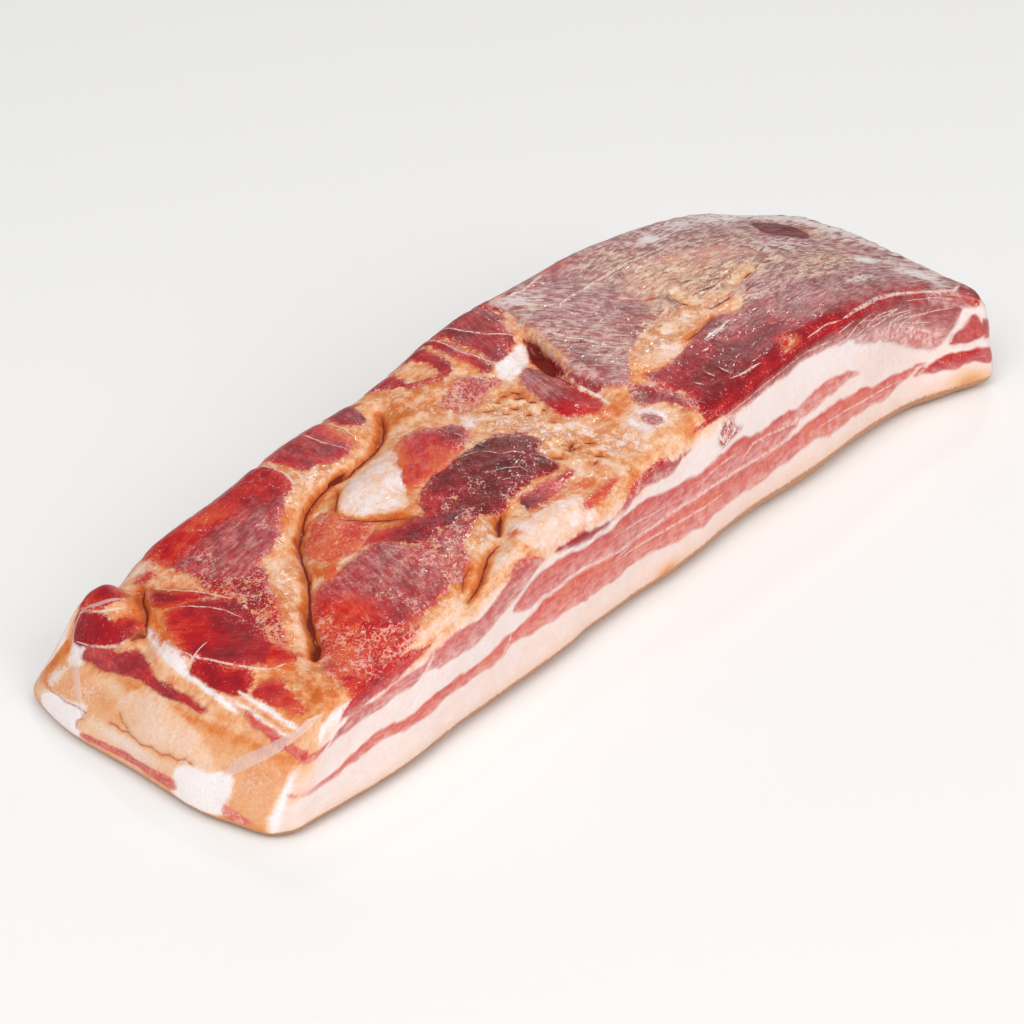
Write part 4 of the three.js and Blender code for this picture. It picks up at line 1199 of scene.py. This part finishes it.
meatLook = {
    # colours by tone: lean from brown purple to orange red, fat from clean to deeply smoked
    "leanTones": [(0.0, (0.105, 0.008, 0.008)), (0.22, (0.20, 0.013, 0.015)),
                  (0.45, (0.33, 0.011, 0.019)), (0.66, (0.53, 0.017, 0.018)),
                  (0.84, (0.66, 0.065, 0.030)), (1.0, (0.72, 0.14, 0.040))],
    "fatTones": [(0.0, (0.93, 0.85, 0.84)), (0.14, (0.91, 0.77, 0.74)),
                 (0.28, (0.89, 0.62, 0.50)), (0.42, (0.87, 0.53, 0.33)),
                 (0.58, (0.81, 0.37, 0.17)), (0.78, (0.72, 0.21, 0.05)),
                 (1.0, (0.46, 0.08, 0.02))],
    "topBloom": (0.62, 0.41, 0.40), "sideBloom": (0.88, 0.60, 0.56),
    "dryBloom": (0.82, 0.60, 0.41), "dryFat": (0.87, 0.60, 0.36),
    # the first colour on the next line is the film's painted sheen, a whitish reflection
    "paintedSheenTint": (0.88, 0.79, 0.76), "fleck": (0.88, 0.53, 0.46), "vein": (0.90, 0.70, 0.61),
    # the crack colour on the next line is painted shade inside the cracks
    "stain": (0.70, 0.135, 0.022), "crack": (0.17, 0.018, 0.009),
    # the wrinkle and pit colours on the next line are painted shade: in the bloom's wrinkles and in
    # the gaps of the dry fat
    "crackRim": (0.46, 0.085, 0.025), "paintedWrinkleShade": (0.16, 0.035, 0.03), "pit": (0.50, 0.13, 0.035),
    "rind": (0.62, 0.32, 0.16), "rindDark": (0.40, 0.15, 0.06),
    # noises: size in mm, detail, roughness, and its share of that fineness along the fibres
    "grains": {"broad": (10, 2, 0.55, 1), "patchy": (4.2, 3, 0.55, 1),
               "middle": (1.7, 3, 0.6, 1), "small": (0.7, 2, 0.6, 1),
               "strands": (1.4, 3, 0.6, 0.22), "threads": (1.25, 3, 0.6, 0.26),
               "specks": (0.5, 1, 0.5, 0.7), "wrinkles": (2.4, 3, 0.6, 0.3)},
    "flakeSize": 2.6, "flakeWarp": 5, "flakeWarpSize": 2.2,  # mm
    # the edge of the lean, mm: how far the patchy, middle and small noises move it
    "edgeJag": (4.2, 2.4, 1.2), "edgeSoft": 0.7, "edgeReach": 4.0, "edgeCalmAtSides": 0.88,
    "redderAtEdge": 0.16, "fattierAtEdge": 0.4,
    "islandsByFlecks": 0.42, "islandRange": (0.93, 0.98), "leanInIslands": 0.15,
    # how much the noises change a tone, and how much less they do at the sides
    "leanSwings": {"broad": 0.75, "strands": 0.5, "patchy": 0.45}, "leanCalmAtSides": 0.45,
    "fatSwings": {"broad": 0.55, "patchy": 0.6, "middle": 0.5, "strands": 0.25},
    "fatCalmAtSides": 0.82,
    # dry bloom, with painted shade in its wrinkles, painted highlights along them, and the film's
    # painted sheen
    "scratches": {"threads": 1.4, "middle": 0.4, "patchy": 0.8}, "scratchRange": (1.08, 1.52),
    "scratchBloom": (0.3, 1.2), "bloomAtSides": 0.36, "drySwing": 1.2,
    "wrinkleWidth": 0.03, "wrinkleDark": 0.75, "streakRange": (0.6, 0.7), "streakPale": 0.8,
    "paintedSheenGain": 1.5, "paintedSheenSwing": 2.4, "paintedSheenRange": (2.2, 2.9),
    # fat through the lean, and small pale specks, partly fat and partly painted glints of the film
    "netByFlecks": 0.17, "netStart": -0.055, "netSwings": {"middle": 0.22, "small": 0.25},
    "netRange": (-0.03, 0.04), "netPale": 0.6, "netPatches": (0.45, 0.58),
    "specksByFlecks": 0.13, "speckStart": 0.755, "speckSoft": 0.05, "speckPale": 0.85,
    # smoke and dryness of the fat, and painted shade in its pits and chinks
    "crackBrown": 0.3, "crackBrownRange": (0.2, 3.0), "brownAtSides": 0.2,
    "flakyPatches": (0.3, 0.5), "flakyLeast": 0.3, "flakeSwing": 0.6,
    "dryFlakes": (0.35, 0.8), "dryFlakesPaler": 0.07,
    "dryFatPatches": (0.35, 0.6), "dryFatAmounts": (0.5, 0.9),
    "stainRange": (-0.14, 0.14), "stainAmounts": (0.05, 0.6), "stainFrom": (0.0, 0.3),
    "stainOutside": (-4.5, 0.4), "stainInside": (0.5, 2.0), "stainInLean": 0.15,
    "smokeFrom": (0.3, 1.0), "smokeRange": (-0.16, 0.14), "smokeLeast": 0.3,
    "smokeOnLean": 0.7,
    "pitSwing": 0.5, "pitRange": (0.61, 0.67), "pitDark": 0.8,
    "chinkSwing": 0.7, "chinkWidth": 0.26, "chinkDark": 0.8, "chinkPatches": (0.4, 0.52),
    # veins, and cracks with painted shade inside them
    "lineEdge": (0.5, 1.5), "lineEnds": (0.35, 0.6),
    "veinRagged": 2.2, "veinPale": 0.85, "veinPatches": (0.4, 0.56), "veinLeast": 0.2,
    "veinFadeAtSides": 0.2,
    "crackRagged": 1.8, "crackDark": 0.95, "crackFadeAtSides": 0.75,
    "rimSwing": 1.1, "rimWidth": 0.9, "rimDark": 0.6, "rimFadeInLean": 0.8,
    "rindSwing": 0.9, "rindRange": (0.25, 0.8), "rindMottle": (0.4, 0.65),
    # surface
    "roughLean": 0.36, "roughFat": 0.48, "roughBloom": 0.6, "roughSwing": 0.3,
    "bumpDepth": 0.45, "bumpStrength": 0.8, "bumpMix": {"strands": 0.4, "small": 0.5},
    "specular": 0.1,
    # the clear film that lies tight over the meat
    "filmGloss": 0.25, "filmRough": 0.08, "filmGrain": (4, 2, 0.6), "filmDrawn": (0.5, 1, 1),
    "filmDepth": 1.2, "filmStrength": 0.7,
}


def smokedMeat():
    look = meatLook
    material = bpy.data.materials.new("smokedMeat")
    material.use_nodes = True
    tree = material.node_tree
    shader = tree.nodes["Principled BSDF"]
    place, fibre = field(tree, "blockPlace", True), field(tree, "fibres", True)

    def add(first, second):
        return sums(tree, "ADD", first, second)

    def times(first, second):
        return sums(tree, "MULTIPLY", first, second)

    def swing(value, amount):
        # noise round 0 instead of 0.5
        return times(sums(tree, "SUBTRACT", value, 0.5), amount)

    def lessBy(value, share):
        # 1 where the value is 0, and less by this share where it is 1
        return add(times(value, -share), 1.0)

    def grain(name):
        size, detail, rough, alongFibres = look["grains"][name]
        vector = place if alongFibres == 1 else scaled(tree, fibre, (alongFibres, 1, 1))
        return noise(tree, vector, size, detail, rough)

    grains = {name: grain(name) for name in look["grains"]}
    patchy, middle, small = grains["patchy"], grains["middle"], grains["small"]

    def swings(amounts):
        total = None
        for name, amount in amounts.items():
            part = swing(grains[name], amount)
            total = part if total is None else add(total, part)
        return total

    side, lean = field(tree, "side"), field(tree, "lean")
    onTop = sums(tree, "SUBTRACT", 1.0, side)
    warp = noise(tree, place, look["flakeWarpSize"], 1, 0.5, "Color")
    warped = put(tree, "ShaderNodeVectorMath", {0: warp, 1: (look["flakeWarp"],) * 3, 2: place},
                 operation="MULTIPLY_ADD").outputs[0]
    flakeEdge = cells(tree, warped, look["flakeSize"])
    flakeTone = cells(tree, warped, look["flakeSize"], "F1")

    # where lean starts, its edge ragged on the top and cleaner on the cut sides
    ragged = swings(dict(zip(("patchy", "middle", "small"), look["edgeJag"])))
    ragged = sums(tree, "MULTIPLY_ADD", ragged, lessBy(side, look["edgeCalmAtSides"]), lean)
    nearEdge = between(tree, ragged, 0.0, look["edgeReach"], 1.0, 0.0)
    isLean = between(tree, ragged, -look["edgeSoft"], look["edgeSoft"])
    islands = sums(tree, "MULTIPLY_ADD", field(tree, "flecks"), look["islandsByFlecks"], middle)
    isLean = times(isLean, between(tree, islands, *look["islandRange"], 1.0,
                                   look["leanInIslands"]))

    # lean: tone by muscle, strands along its fibres, redder at its edges
    toneSwing = times(swings(look["leanSwings"]), lessBy(side, look["leanCalmAtSides"]))
    tone = add(field(tree, "tone"), toneSwing)
    tone = add(tone, times(times(nearEdge, look["redderAtEdge"]), onTop))
    leanColour = ramp(tree, tone, look["leanTones"])

    # dry bloom over the lean, in scratches along the fibres; painted shade and painted highlights
    # on its wrinkles
    bloom = field(tree, "bloom")
    dryness = add(field(tree, "dry"), swing(patchy, look["drySwing"]))
    bloomTone = blend(tree, dryness, look["topBloom"], look["dryBloom"])
    bloomTone = blend(tree, side, bloomTone, look["sideBloom"])
    parts = [times(grains[name], amount) for name, amount in look["scratches"].items()]
    scratch = add(add(*parts[:2]), parts[2])
    bloomPatch = add(between(tree, scratch, *look["scratchRange"], *look["scratchBloom"]),
                     times(side, look["bloomAtSides"]))
    bloomAmount = sums(tree, "MULTIPLY", bloom, bloomPatch, clamp=True)
    leanColour = blend(tree, bloomAmount, leanColour, bloomTone)
    # painted shade in the creases of the bloom's wrinkles
    wrinkles = sums(tree, "ABSOLUTE", swing(grains["wrinkles"], 1.0))
    wrinkles = between(tree, wrinkles, 0.0, look["wrinkleWidth"], look["wrinkleDark"], 0.0)
    wrinkled = times(bloom, onTop)
    leanColour = blend(tree, times(wrinkles, wrinkled), leanColour, look["paintedWrinkleShade"])
    # painted highlights: cream streaks along the bloom's wrinkles
    paintedWrinkleHighlight = between(tree, grains["threads"], *look["streakRange"], 0.0, look["streakPale"])
    leanColour = blend(tree, times(paintedWrinkleHighlight, wrinkled), leanColour, look["dryBloom"])

    # fat through the lean: a fine net, denser at the edges; and small pale specks, partly fat
    # flecks and partly painted glints of the film
    edgeFat = times(times(nearEdge, look["fattierAtEdge"]), onTop)
    flecks = sums(tree, "ADD", field(tree, "flecks"), edgeFat, clamp=True)
    netWidth = sums(tree, "MULTIPLY_ADD", flecks, look["netByFlecks"], look["netStart"])
    netWidth = add(netWidth, swing(middle, look["netSwings"]["middle"]))
    netWidth = sums(tree, "SUBTRACT", netWidth, flakeEdge)
    netWidth = add(netWidth, swing(small, look["netSwings"]["small"]))
    netAmount = times(between(tree, netWidth, *look["netRange"], 0.0, look["netPale"]),
                      between(tree, patchy, *look["netPatches"]))
    leanColour = blend(tree, netAmount, leanColour, look["fleck"])
    speckEdge = add(times(flecks, -look["specksByFlecks"]), look["speckStart"])
    fleckAndPaintedGlintSpecks = between(tree, sums(tree, "SUBTRACT", grains["specks"], speckEdge), 0.0,
                          look["speckSoft"], 0.0, look["speckPale"])
    leanColour = blend(tree, fleckAndPaintedGlintSpecks, leanColour, look["fleck"])

    # fat: smoke tone, mottled and stranded, browner at cracks, paler where it is dry
    fatTone = sums(tree, "MULTIPLY_ADD", swings(look["fatSwings"]),
                   lessBy(side, look["fatCalmAtSides"]), field(tree, "fatTone"))
    browned = between(tree, field(tree, "crack"), *look["crackBrownRange"], look["crackBrown"], 0.0)
    byTop = add(times(onTop, 1 - look["brownAtSides"]), look["brownAtSides"])
    fatTone = add(fatTone, times(browned, byTop))
    flaky = times(field(tree, "flaky"), between(tree, patchy, *look["flakyPatches"],
                                                look["flakyLeast"]))
    veryFlaky = between(tree, field(tree, "flaky"), *look["dryFlakes"])
    fatTone = add(fatTone, times(swing(flakeTone, look["flakeSwing"]), flaky))
    fatTone = add(fatTone, times(veryFlaky, -look["dryFlakesPaler"]))
    fatColour = ramp(tree, fatTone, look["fatTones"])
    dryFat = times(times(field(tree, "dry"), onTop),
                   between(tree, patchy, *look["dryFatPatches"], *look["dryFatAmounts"]))
    fatColour = blend(tree, dryFat, fatColour, look["dryFat"])

    # orange stain beside the lean, and smoke where the stain is strong
    stained = swings({"broad": 1.0, "middle": 1.0})
    stainPatch = times(between(tree, stained, *look["stainRange"], *look["stainAmounts"]),
                       between(tree, field(tree, "stain"), *look["stainFrom"]))
    byLean = times(between(tree, ragged, *look["stainOutside"]),
                   between(tree, ragged, *look["stainInside"], 1.0, look["stainInLean"]))
    stain = times(times(byLean, onTop), stainPatch)
    smoky = swings({"strands": 1.0, "patchy": 1.0})
    smoke = times(between(tree, field(tree, "stain"), *look["smokeFrom"]),
                  between(tree, smoky, *look["smokeRange"], look["smokeLeast"]))
    fatColour = blend(tree, sums(tree, "MAXIMUM", stain, smoke), fatColour, look["stain"])

    # painted shade in the pits and chinks of the dry fat
    pits = between(tree, add(small, swing(patchy, look["pitSwing"])), *look["pitRange"])
    paintedChinkShade = between(tree, add(flakeEdge, swing(middle, look["chinkSwing"])), 0.0,
                     look["chinkWidth"], look["chinkDark"], 0.0)
    paintedChinkShade = times(times(paintedChinkShade, veryFlaky), between(tree, patchy, *look["chinkPatches"]))
    pits = sums(tree, "MAXIMUM", times(pits, flaky), paintedChinkShade)
    fatColour = blend(tree, times(pits, look["pitDark"]), fatColour, look["pit"])
    leanStain = times(times(smoke, nearEdge), look["smokeOnLean"])
    leanColour = blend(tree, leanStain, leanColour, look["stain"])
    colour = blend(tree, isLean, fatColour, leanColour)

    def thinLine(name, raggedness, strength):
        # sharp across the line, and gone a little beyond its ends
        across = add(field(tree, name + "Aside"), swing(patchy, raggedness))
        across = add(sums(tree, "ABSOLUTE", across), swing(middle, raggedness))
        inside = between(tree, across, *look["lineEdge"], strength, 0.0)
        return times(inside, between(tree, field(tree, name), *look["lineEnds"], 1.0, 0.0))

    # veins fade in and out along their length
    isVein = times(thinLine("vein", look["veinRagged"], look["veinPale"]),
                   between(tree, middle, *look["veinPatches"], look["veinLeast"]))
    isVein = times(isVein, lessBy(side, look["veinFadeAtSides"]))
    colour = blend(tree, isVein, colour, look["vein"])

    # painted sheen: the film's whitish reflection, painted into the colour in streaky patches
    paintedSheenField = field(tree, "paintedSheen")
    paintedSheen = add(times(paintedSheenField, look["paintedSheenGain"]), swing(scratch, look["paintedSheenSwing"]))
    paintedSheen = times(between(tree, paintedSheen, *look["paintedSheenRange"]), paintedSheenField)
    colour = blend(tree, paintedSheen, colour, look["paintedSheenTint"])

    crackEdge = add(swing(middle, look["rimSwing"]), field(tree, "crack"))
    crackRim = between(tree, crackEdge, 0.0, look["rimWidth"], look["rimDark"], 0.0)
    crackRim = times(crackRim, lessBy(isLean, look["rimFadeInLean"]))
    colour = blend(tree, crackRim, colour, look["crackRim"])
    # painted shade inside the cracks: a dark core along each crack line
    paintedCrackShade = times(thinLine("crack", look["crackRagged"], look["crackDark"]),
                    lessBy(side, look["crackFadeAtSides"]))
    colour = blend(tree, paintedCrackShade, colour, look["crack"])

    rindEdge = add(swing(middle, look["rindSwing"]), field(tree, "rind"))
    rindMottle = between(tree, small, *look["rindMottle"])
    rindColour = blend(tree, rindMottle, look["rind"], look["rindDark"])
    colour = blend(tree, between(tree, rindEdge, *look["rindRange"]), colour, rindColour)
    tree.links.new(colour, shader.inputs["Base Color"])

    rough = add(times(isLean, look["roughLean"] - look["roughFat"]), look["roughFat"])
    rough = add(rough, times(bloomAmount, look["roughBloom"] - look["roughLean"]))
    rough = add(rough, swing(small, look["roughSwing"]))
    tree.links.new(rough, shader.inputs["Roughness"])

    relief = add(times(grains["strands"], look["bumpMix"]["strands"]), middle)
    relief = add(relief, times(small, look["bumpMix"]["small"]))
    film = noise(tree, scaled(tree, place, look["filmDrawn"]), *look["filmGrain"])
    for height, depth, strength, socket in (
            (relief, look["bumpDepth"], look["bumpStrength"], "Normal"),
            (film, look["filmDepth"], look["filmStrength"], "Coat Normal")):
        bump = put(tree, "ShaderNodeBump",
                   {"Height": height, "Distance": depth * mm, "Strength": strength})
        tree.links.new(bump.outputs[0], shader.inputs[socket])
    shader.inputs["Coat Weight"].default_value = look["filmGloss"]
    shader.inputs["Coat Roughness"].default_value = look["filmRough"]
    shader.inputs["Specular IOR Level"].default_value = look["specular"]
    return material


slab.data.materials.append(smokedMeat())
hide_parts(slabNode)
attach(slab, "root")
print("meat finished")


# The clear film where it folds or stands up in a crease: a thin strip on the meat along a
# line of block places, its half width and its rise in mm at shares of its length

filmFolds = {
    "film_band": {
        "line": [(0, 24, 22), (0, 21.5, 27), (0, 15, 35.5), (5.5, 8, 40), (13, 4, 40)],
        "half": [(0, 0.2), (0.15, 1.8), (0.4, 2.1), (0.7, 1.6), (1, 0.2)],
        "rise": [(0, 0.0), (0.5, 0.15), (1, 0.0)],
    },
    "film_crease_left": {
        "line": [(8, 103, 40), (4.5, 104, 40), (0, 100, 38), (0, 92.5, 32.5), (0, 84, 22),
                 (0, 79, 16)],
        "half": [(0, 0.3), (0.3, 0.9), (0.7, 1.3), (1, 0.3)],
        "rise": [(0, 0.0), (0.5, 0.2), (1, 0.0)],
    },
    "film_crease_top": {
        "line": [(8, 103, 40), (10.5, 97.5, 40), (14, 93.5, 40), (20, 92, 40)],
        "half": [(0, 0.3), (0.5, 0.7), (1, 0.2)],
        "rise": [(0, 0.0), (0.5, 0.15), (1, 0.0)],
    },
}

filmLook = {
    "step": 0.8, "thickness": 0.12, "sunk": 0.08, "boxGap": 0.05,  # mm
    "pointsAcross": 9, "sharpFrom": 50,  # degrees
    "colour": (0.96, 0.86, 0.80), "alpha": 0.38, "roughness": 0.2,
    "puckerSize": 1.1, "puckerDepth": 0.4,  # mm
}


def onMeat(points):
    # the nearest points of the meat's skin and which way it faces there
    found = [slab.closest_point_on_mesh(Vector(point)) for point in points]
    return (np.array([spot for _, spot, _, _ in found]),
            np.array([facing for _, _, facing, _ in found]))


def filmStrip(name, strip):
    knots = np.array(strip["line"], float)
    runs = np.append(0, np.cumsum(np.linalg.norm(np.diff(knots, axis=0), axis=1)))
    steps = stepsOf(0, runs[-1], filmLook["step"])
    share = steps / runs[-1]
    line = [curveThrough(np.stack([runs, knots[:, axis]], axis=1))(steps) for axis in range(3)]
    middles, facing = onMeat(toFrame(bendBlock(np.stack(line, axis=1))))
    ahead = np.gradient(middles, axis=0)
    aside = np.cross(facing, ahead / np.linalg.norm(ahead, axis=1, keepdims=True))
    half = curveThrough(strip["half"])(share)
    rise = curveThrough(strip["rise"])(share)
    upper, lower = [], []
    for k in np.linspace(-1, 1, filmLook["pointsAcross"]):
        spots, facing = onMeat(middles + aside * (half * k * mm)[:, None])
        lift = (rise + filmLook["thickness"]) * (1 - k * k)
        upper.append(spots + facing * (lift * mm)[:, None])
        lower.append(spots - facing * filmLook["sunk"] * mm)
    low, high = (np.array(corner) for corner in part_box(slabNode))
    gap = filmLook["boxGap"] * mm
    points = np.clip(np.concatenate([*upper, *lower]), low + gap, high - gap)

    rows, count = filmLook["pointsAcross"], len(steps)
    number = np.arange(2 * rows * count).reshape(2, rows, count)
    top, bottom = number
    loop = np.concatenate([top[:, 0], top[-1, 1:], top[-2::-1, -1], top[0, -2:0:-1]])
    faces = []
    for i, j in np.ndindex(rows - 1, count - 1):
        faces.append([top[i, j], top[i, j + 1], top[i + 1, j + 1], top[i + 1, j]])
        faces.append([bottom[i, j], bottom[i + 1, j], bottom[i + 1, j + 1], bottom[i, j + 1]])
    for a, b in zip(loop, np.roll(loop, -1)):
        faces.append([a, b, b + rows * count, a + rows * count])
    piece = newPiece(name, points, [[int(n) for n in face] for face in faces])
    piece.data.set_sharp_from_angle(angle=math.radians(filmLook["sharpFrom"]))
    piece.data.materials.append(clearFilm)
    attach(piece, "root")


def makeClearFilm():
    material = bpy.data.materials.new("clearFilm")
    material.use_nodes = True
    tree = material.node_tree
    shader = tree.nodes["Principled BSDF"]
    place = put(tree, "ShaderNodeTexCoord").outputs["Object"]
    puckers = noise(tree, scaled(tree, place, (1 / mm,) * 3), filmLook["puckerSize"])
    bump = put(tree, "ShaderNodeBump",
               {"Height": puckers, "Distance": filmLook["puckerDepth"] * mm})
    tree.links.new(bump.outputs[0], shader.inputs["Normal"])
    shader.inputs["Base Color"].default_value = (*filmLook["colour"], 1)
    shader.inputs["Alpha"].default_value = filmLook["alpha"]
    shader.inputs["Roughness"].default_value = filmLook["roughness"]
    return material


clearFilm = makeClearFilm()
for name, strip in filmFolds.items():
    filmStrip(name, strip)
print(f"film made: {len(filmFolds)} folds")


# camera, floor and light

cameraView = {"target": (-36.4, -16.0, 30), "distance": 921.7,  # mm
              "azimuth": 311.36, "elevation": 33.55, "lens": 98.44, "sensor": 36}


def outward(azimuth, elevation):
    # the way out from the slab to a camera or a lamp, both angles in degrees
    turn, rise = math.radians(azimuth), math.radians(elevation)
    return Vector((math.sin(turn) * math.cos(rise), -math.cos(turn) * math.cos(rise),
                   math.sin(rise)))


def addCamera():
    ahead = -outward(cameraView["azimuth"], cameraView["elevation"])
    data = bpy.data.cameras.new("photoCamera")
    data.lens = cameraView["lens"]
    data.sensor_width = cameraView["sensor"]
    camera = bpy.data.objects.new("photoCamera", data)
    camera.location = (Vector(cameraView["target"]) - ahead * cameraView["distance"]) * mm
    camera.rotation_euler = ahead.to_track_quat("-Z", "Y").to_euler()
    bpy.context.scene.collection.objects.link(camera)
    bpy.context.scene.camera = camera


studio = {
    "floorSize": 12, "floorDrop": 0.0005, "floorColour": (0.90, 0.895, 0.885),
    "floorRoughness": 0.85, "floorSpecular": 0.1,
    "skyColour": (1.0, 0.99, 0.98), "skyStrength": 0.2, "lightsFace": (0, 0, 0.02),
    # (name, azimuth and elevation of the side it comes from, distance, size, watts)
    "lights": [("key", 290, 50, 3.2, 2.3, 60), ("fill", 2, 36, 3.2, 2.4, 44),
               ("overhead", 320, 82, 3.0, 2.2, 12), ("film", 128, 24, 2.6, 1.2, 5),
               ("glint", 120, 42, 3.0, 0.25, 6)],
}


def addFloor():
    corners = np.array([(-1, -1, 0), (1, -1, 0), (1, 1, 0), (-1, 1, 0)]) * studio["floorSize"] / 2
    floor = newPiece("floor", corners, [(0, 1, 2, 3)])
    material = bpy.data.materials.new("paleFloor")
    material.use_nodes = True
    shader = material.node_tree.nodes["Principled BSDF"]
    shader.inputs["Base Color"].default_value = (*studio["floorColour"], 1)
    shader.inputs["Roughness"].default_value = studio["floorRoughness"]
    shader.inputs["Specular IOR Level"].default_value = studio["floorSpecular"]
    floor.data.materials.append(material)
    floor.location.z = -studio["floorDrop"]


def addLights():
    target = Vector(studio["lightsFace"])
    for name, azimuth, elevation, distance, size, watts in studio["lights"]:
        back = outward(azimuth, elevation)
        data = bpy.data.lights.new(name, "AREA")
        data.shape, data.size, data.energy = "DISK", size, watts
        light = bpy.data.objects.new(name, data)
        light.location = target + back * distance
        light.rotation_euler = (-back).to_track_quat("-Z", "Y").to_euler()
        bpy.context.scene.collection.objects.link(light)


def addSky():
    world = bpy.data.worlds.new("studio")
    world.use_nodes = True
    sky = world.node_tree.nodes["Background"]
    sky.inputs["Color"].default_value = (*studio["skyColour"], 1)
    sky.inputs["Strength"].default_value = studio["skyStrength"]
    bpy.context.scene.world = world


addCamera()
addFloor()
addLights()
addSky()
bpy.context.scene.view_settings.view_transform = "Standard"
print("studio ready")
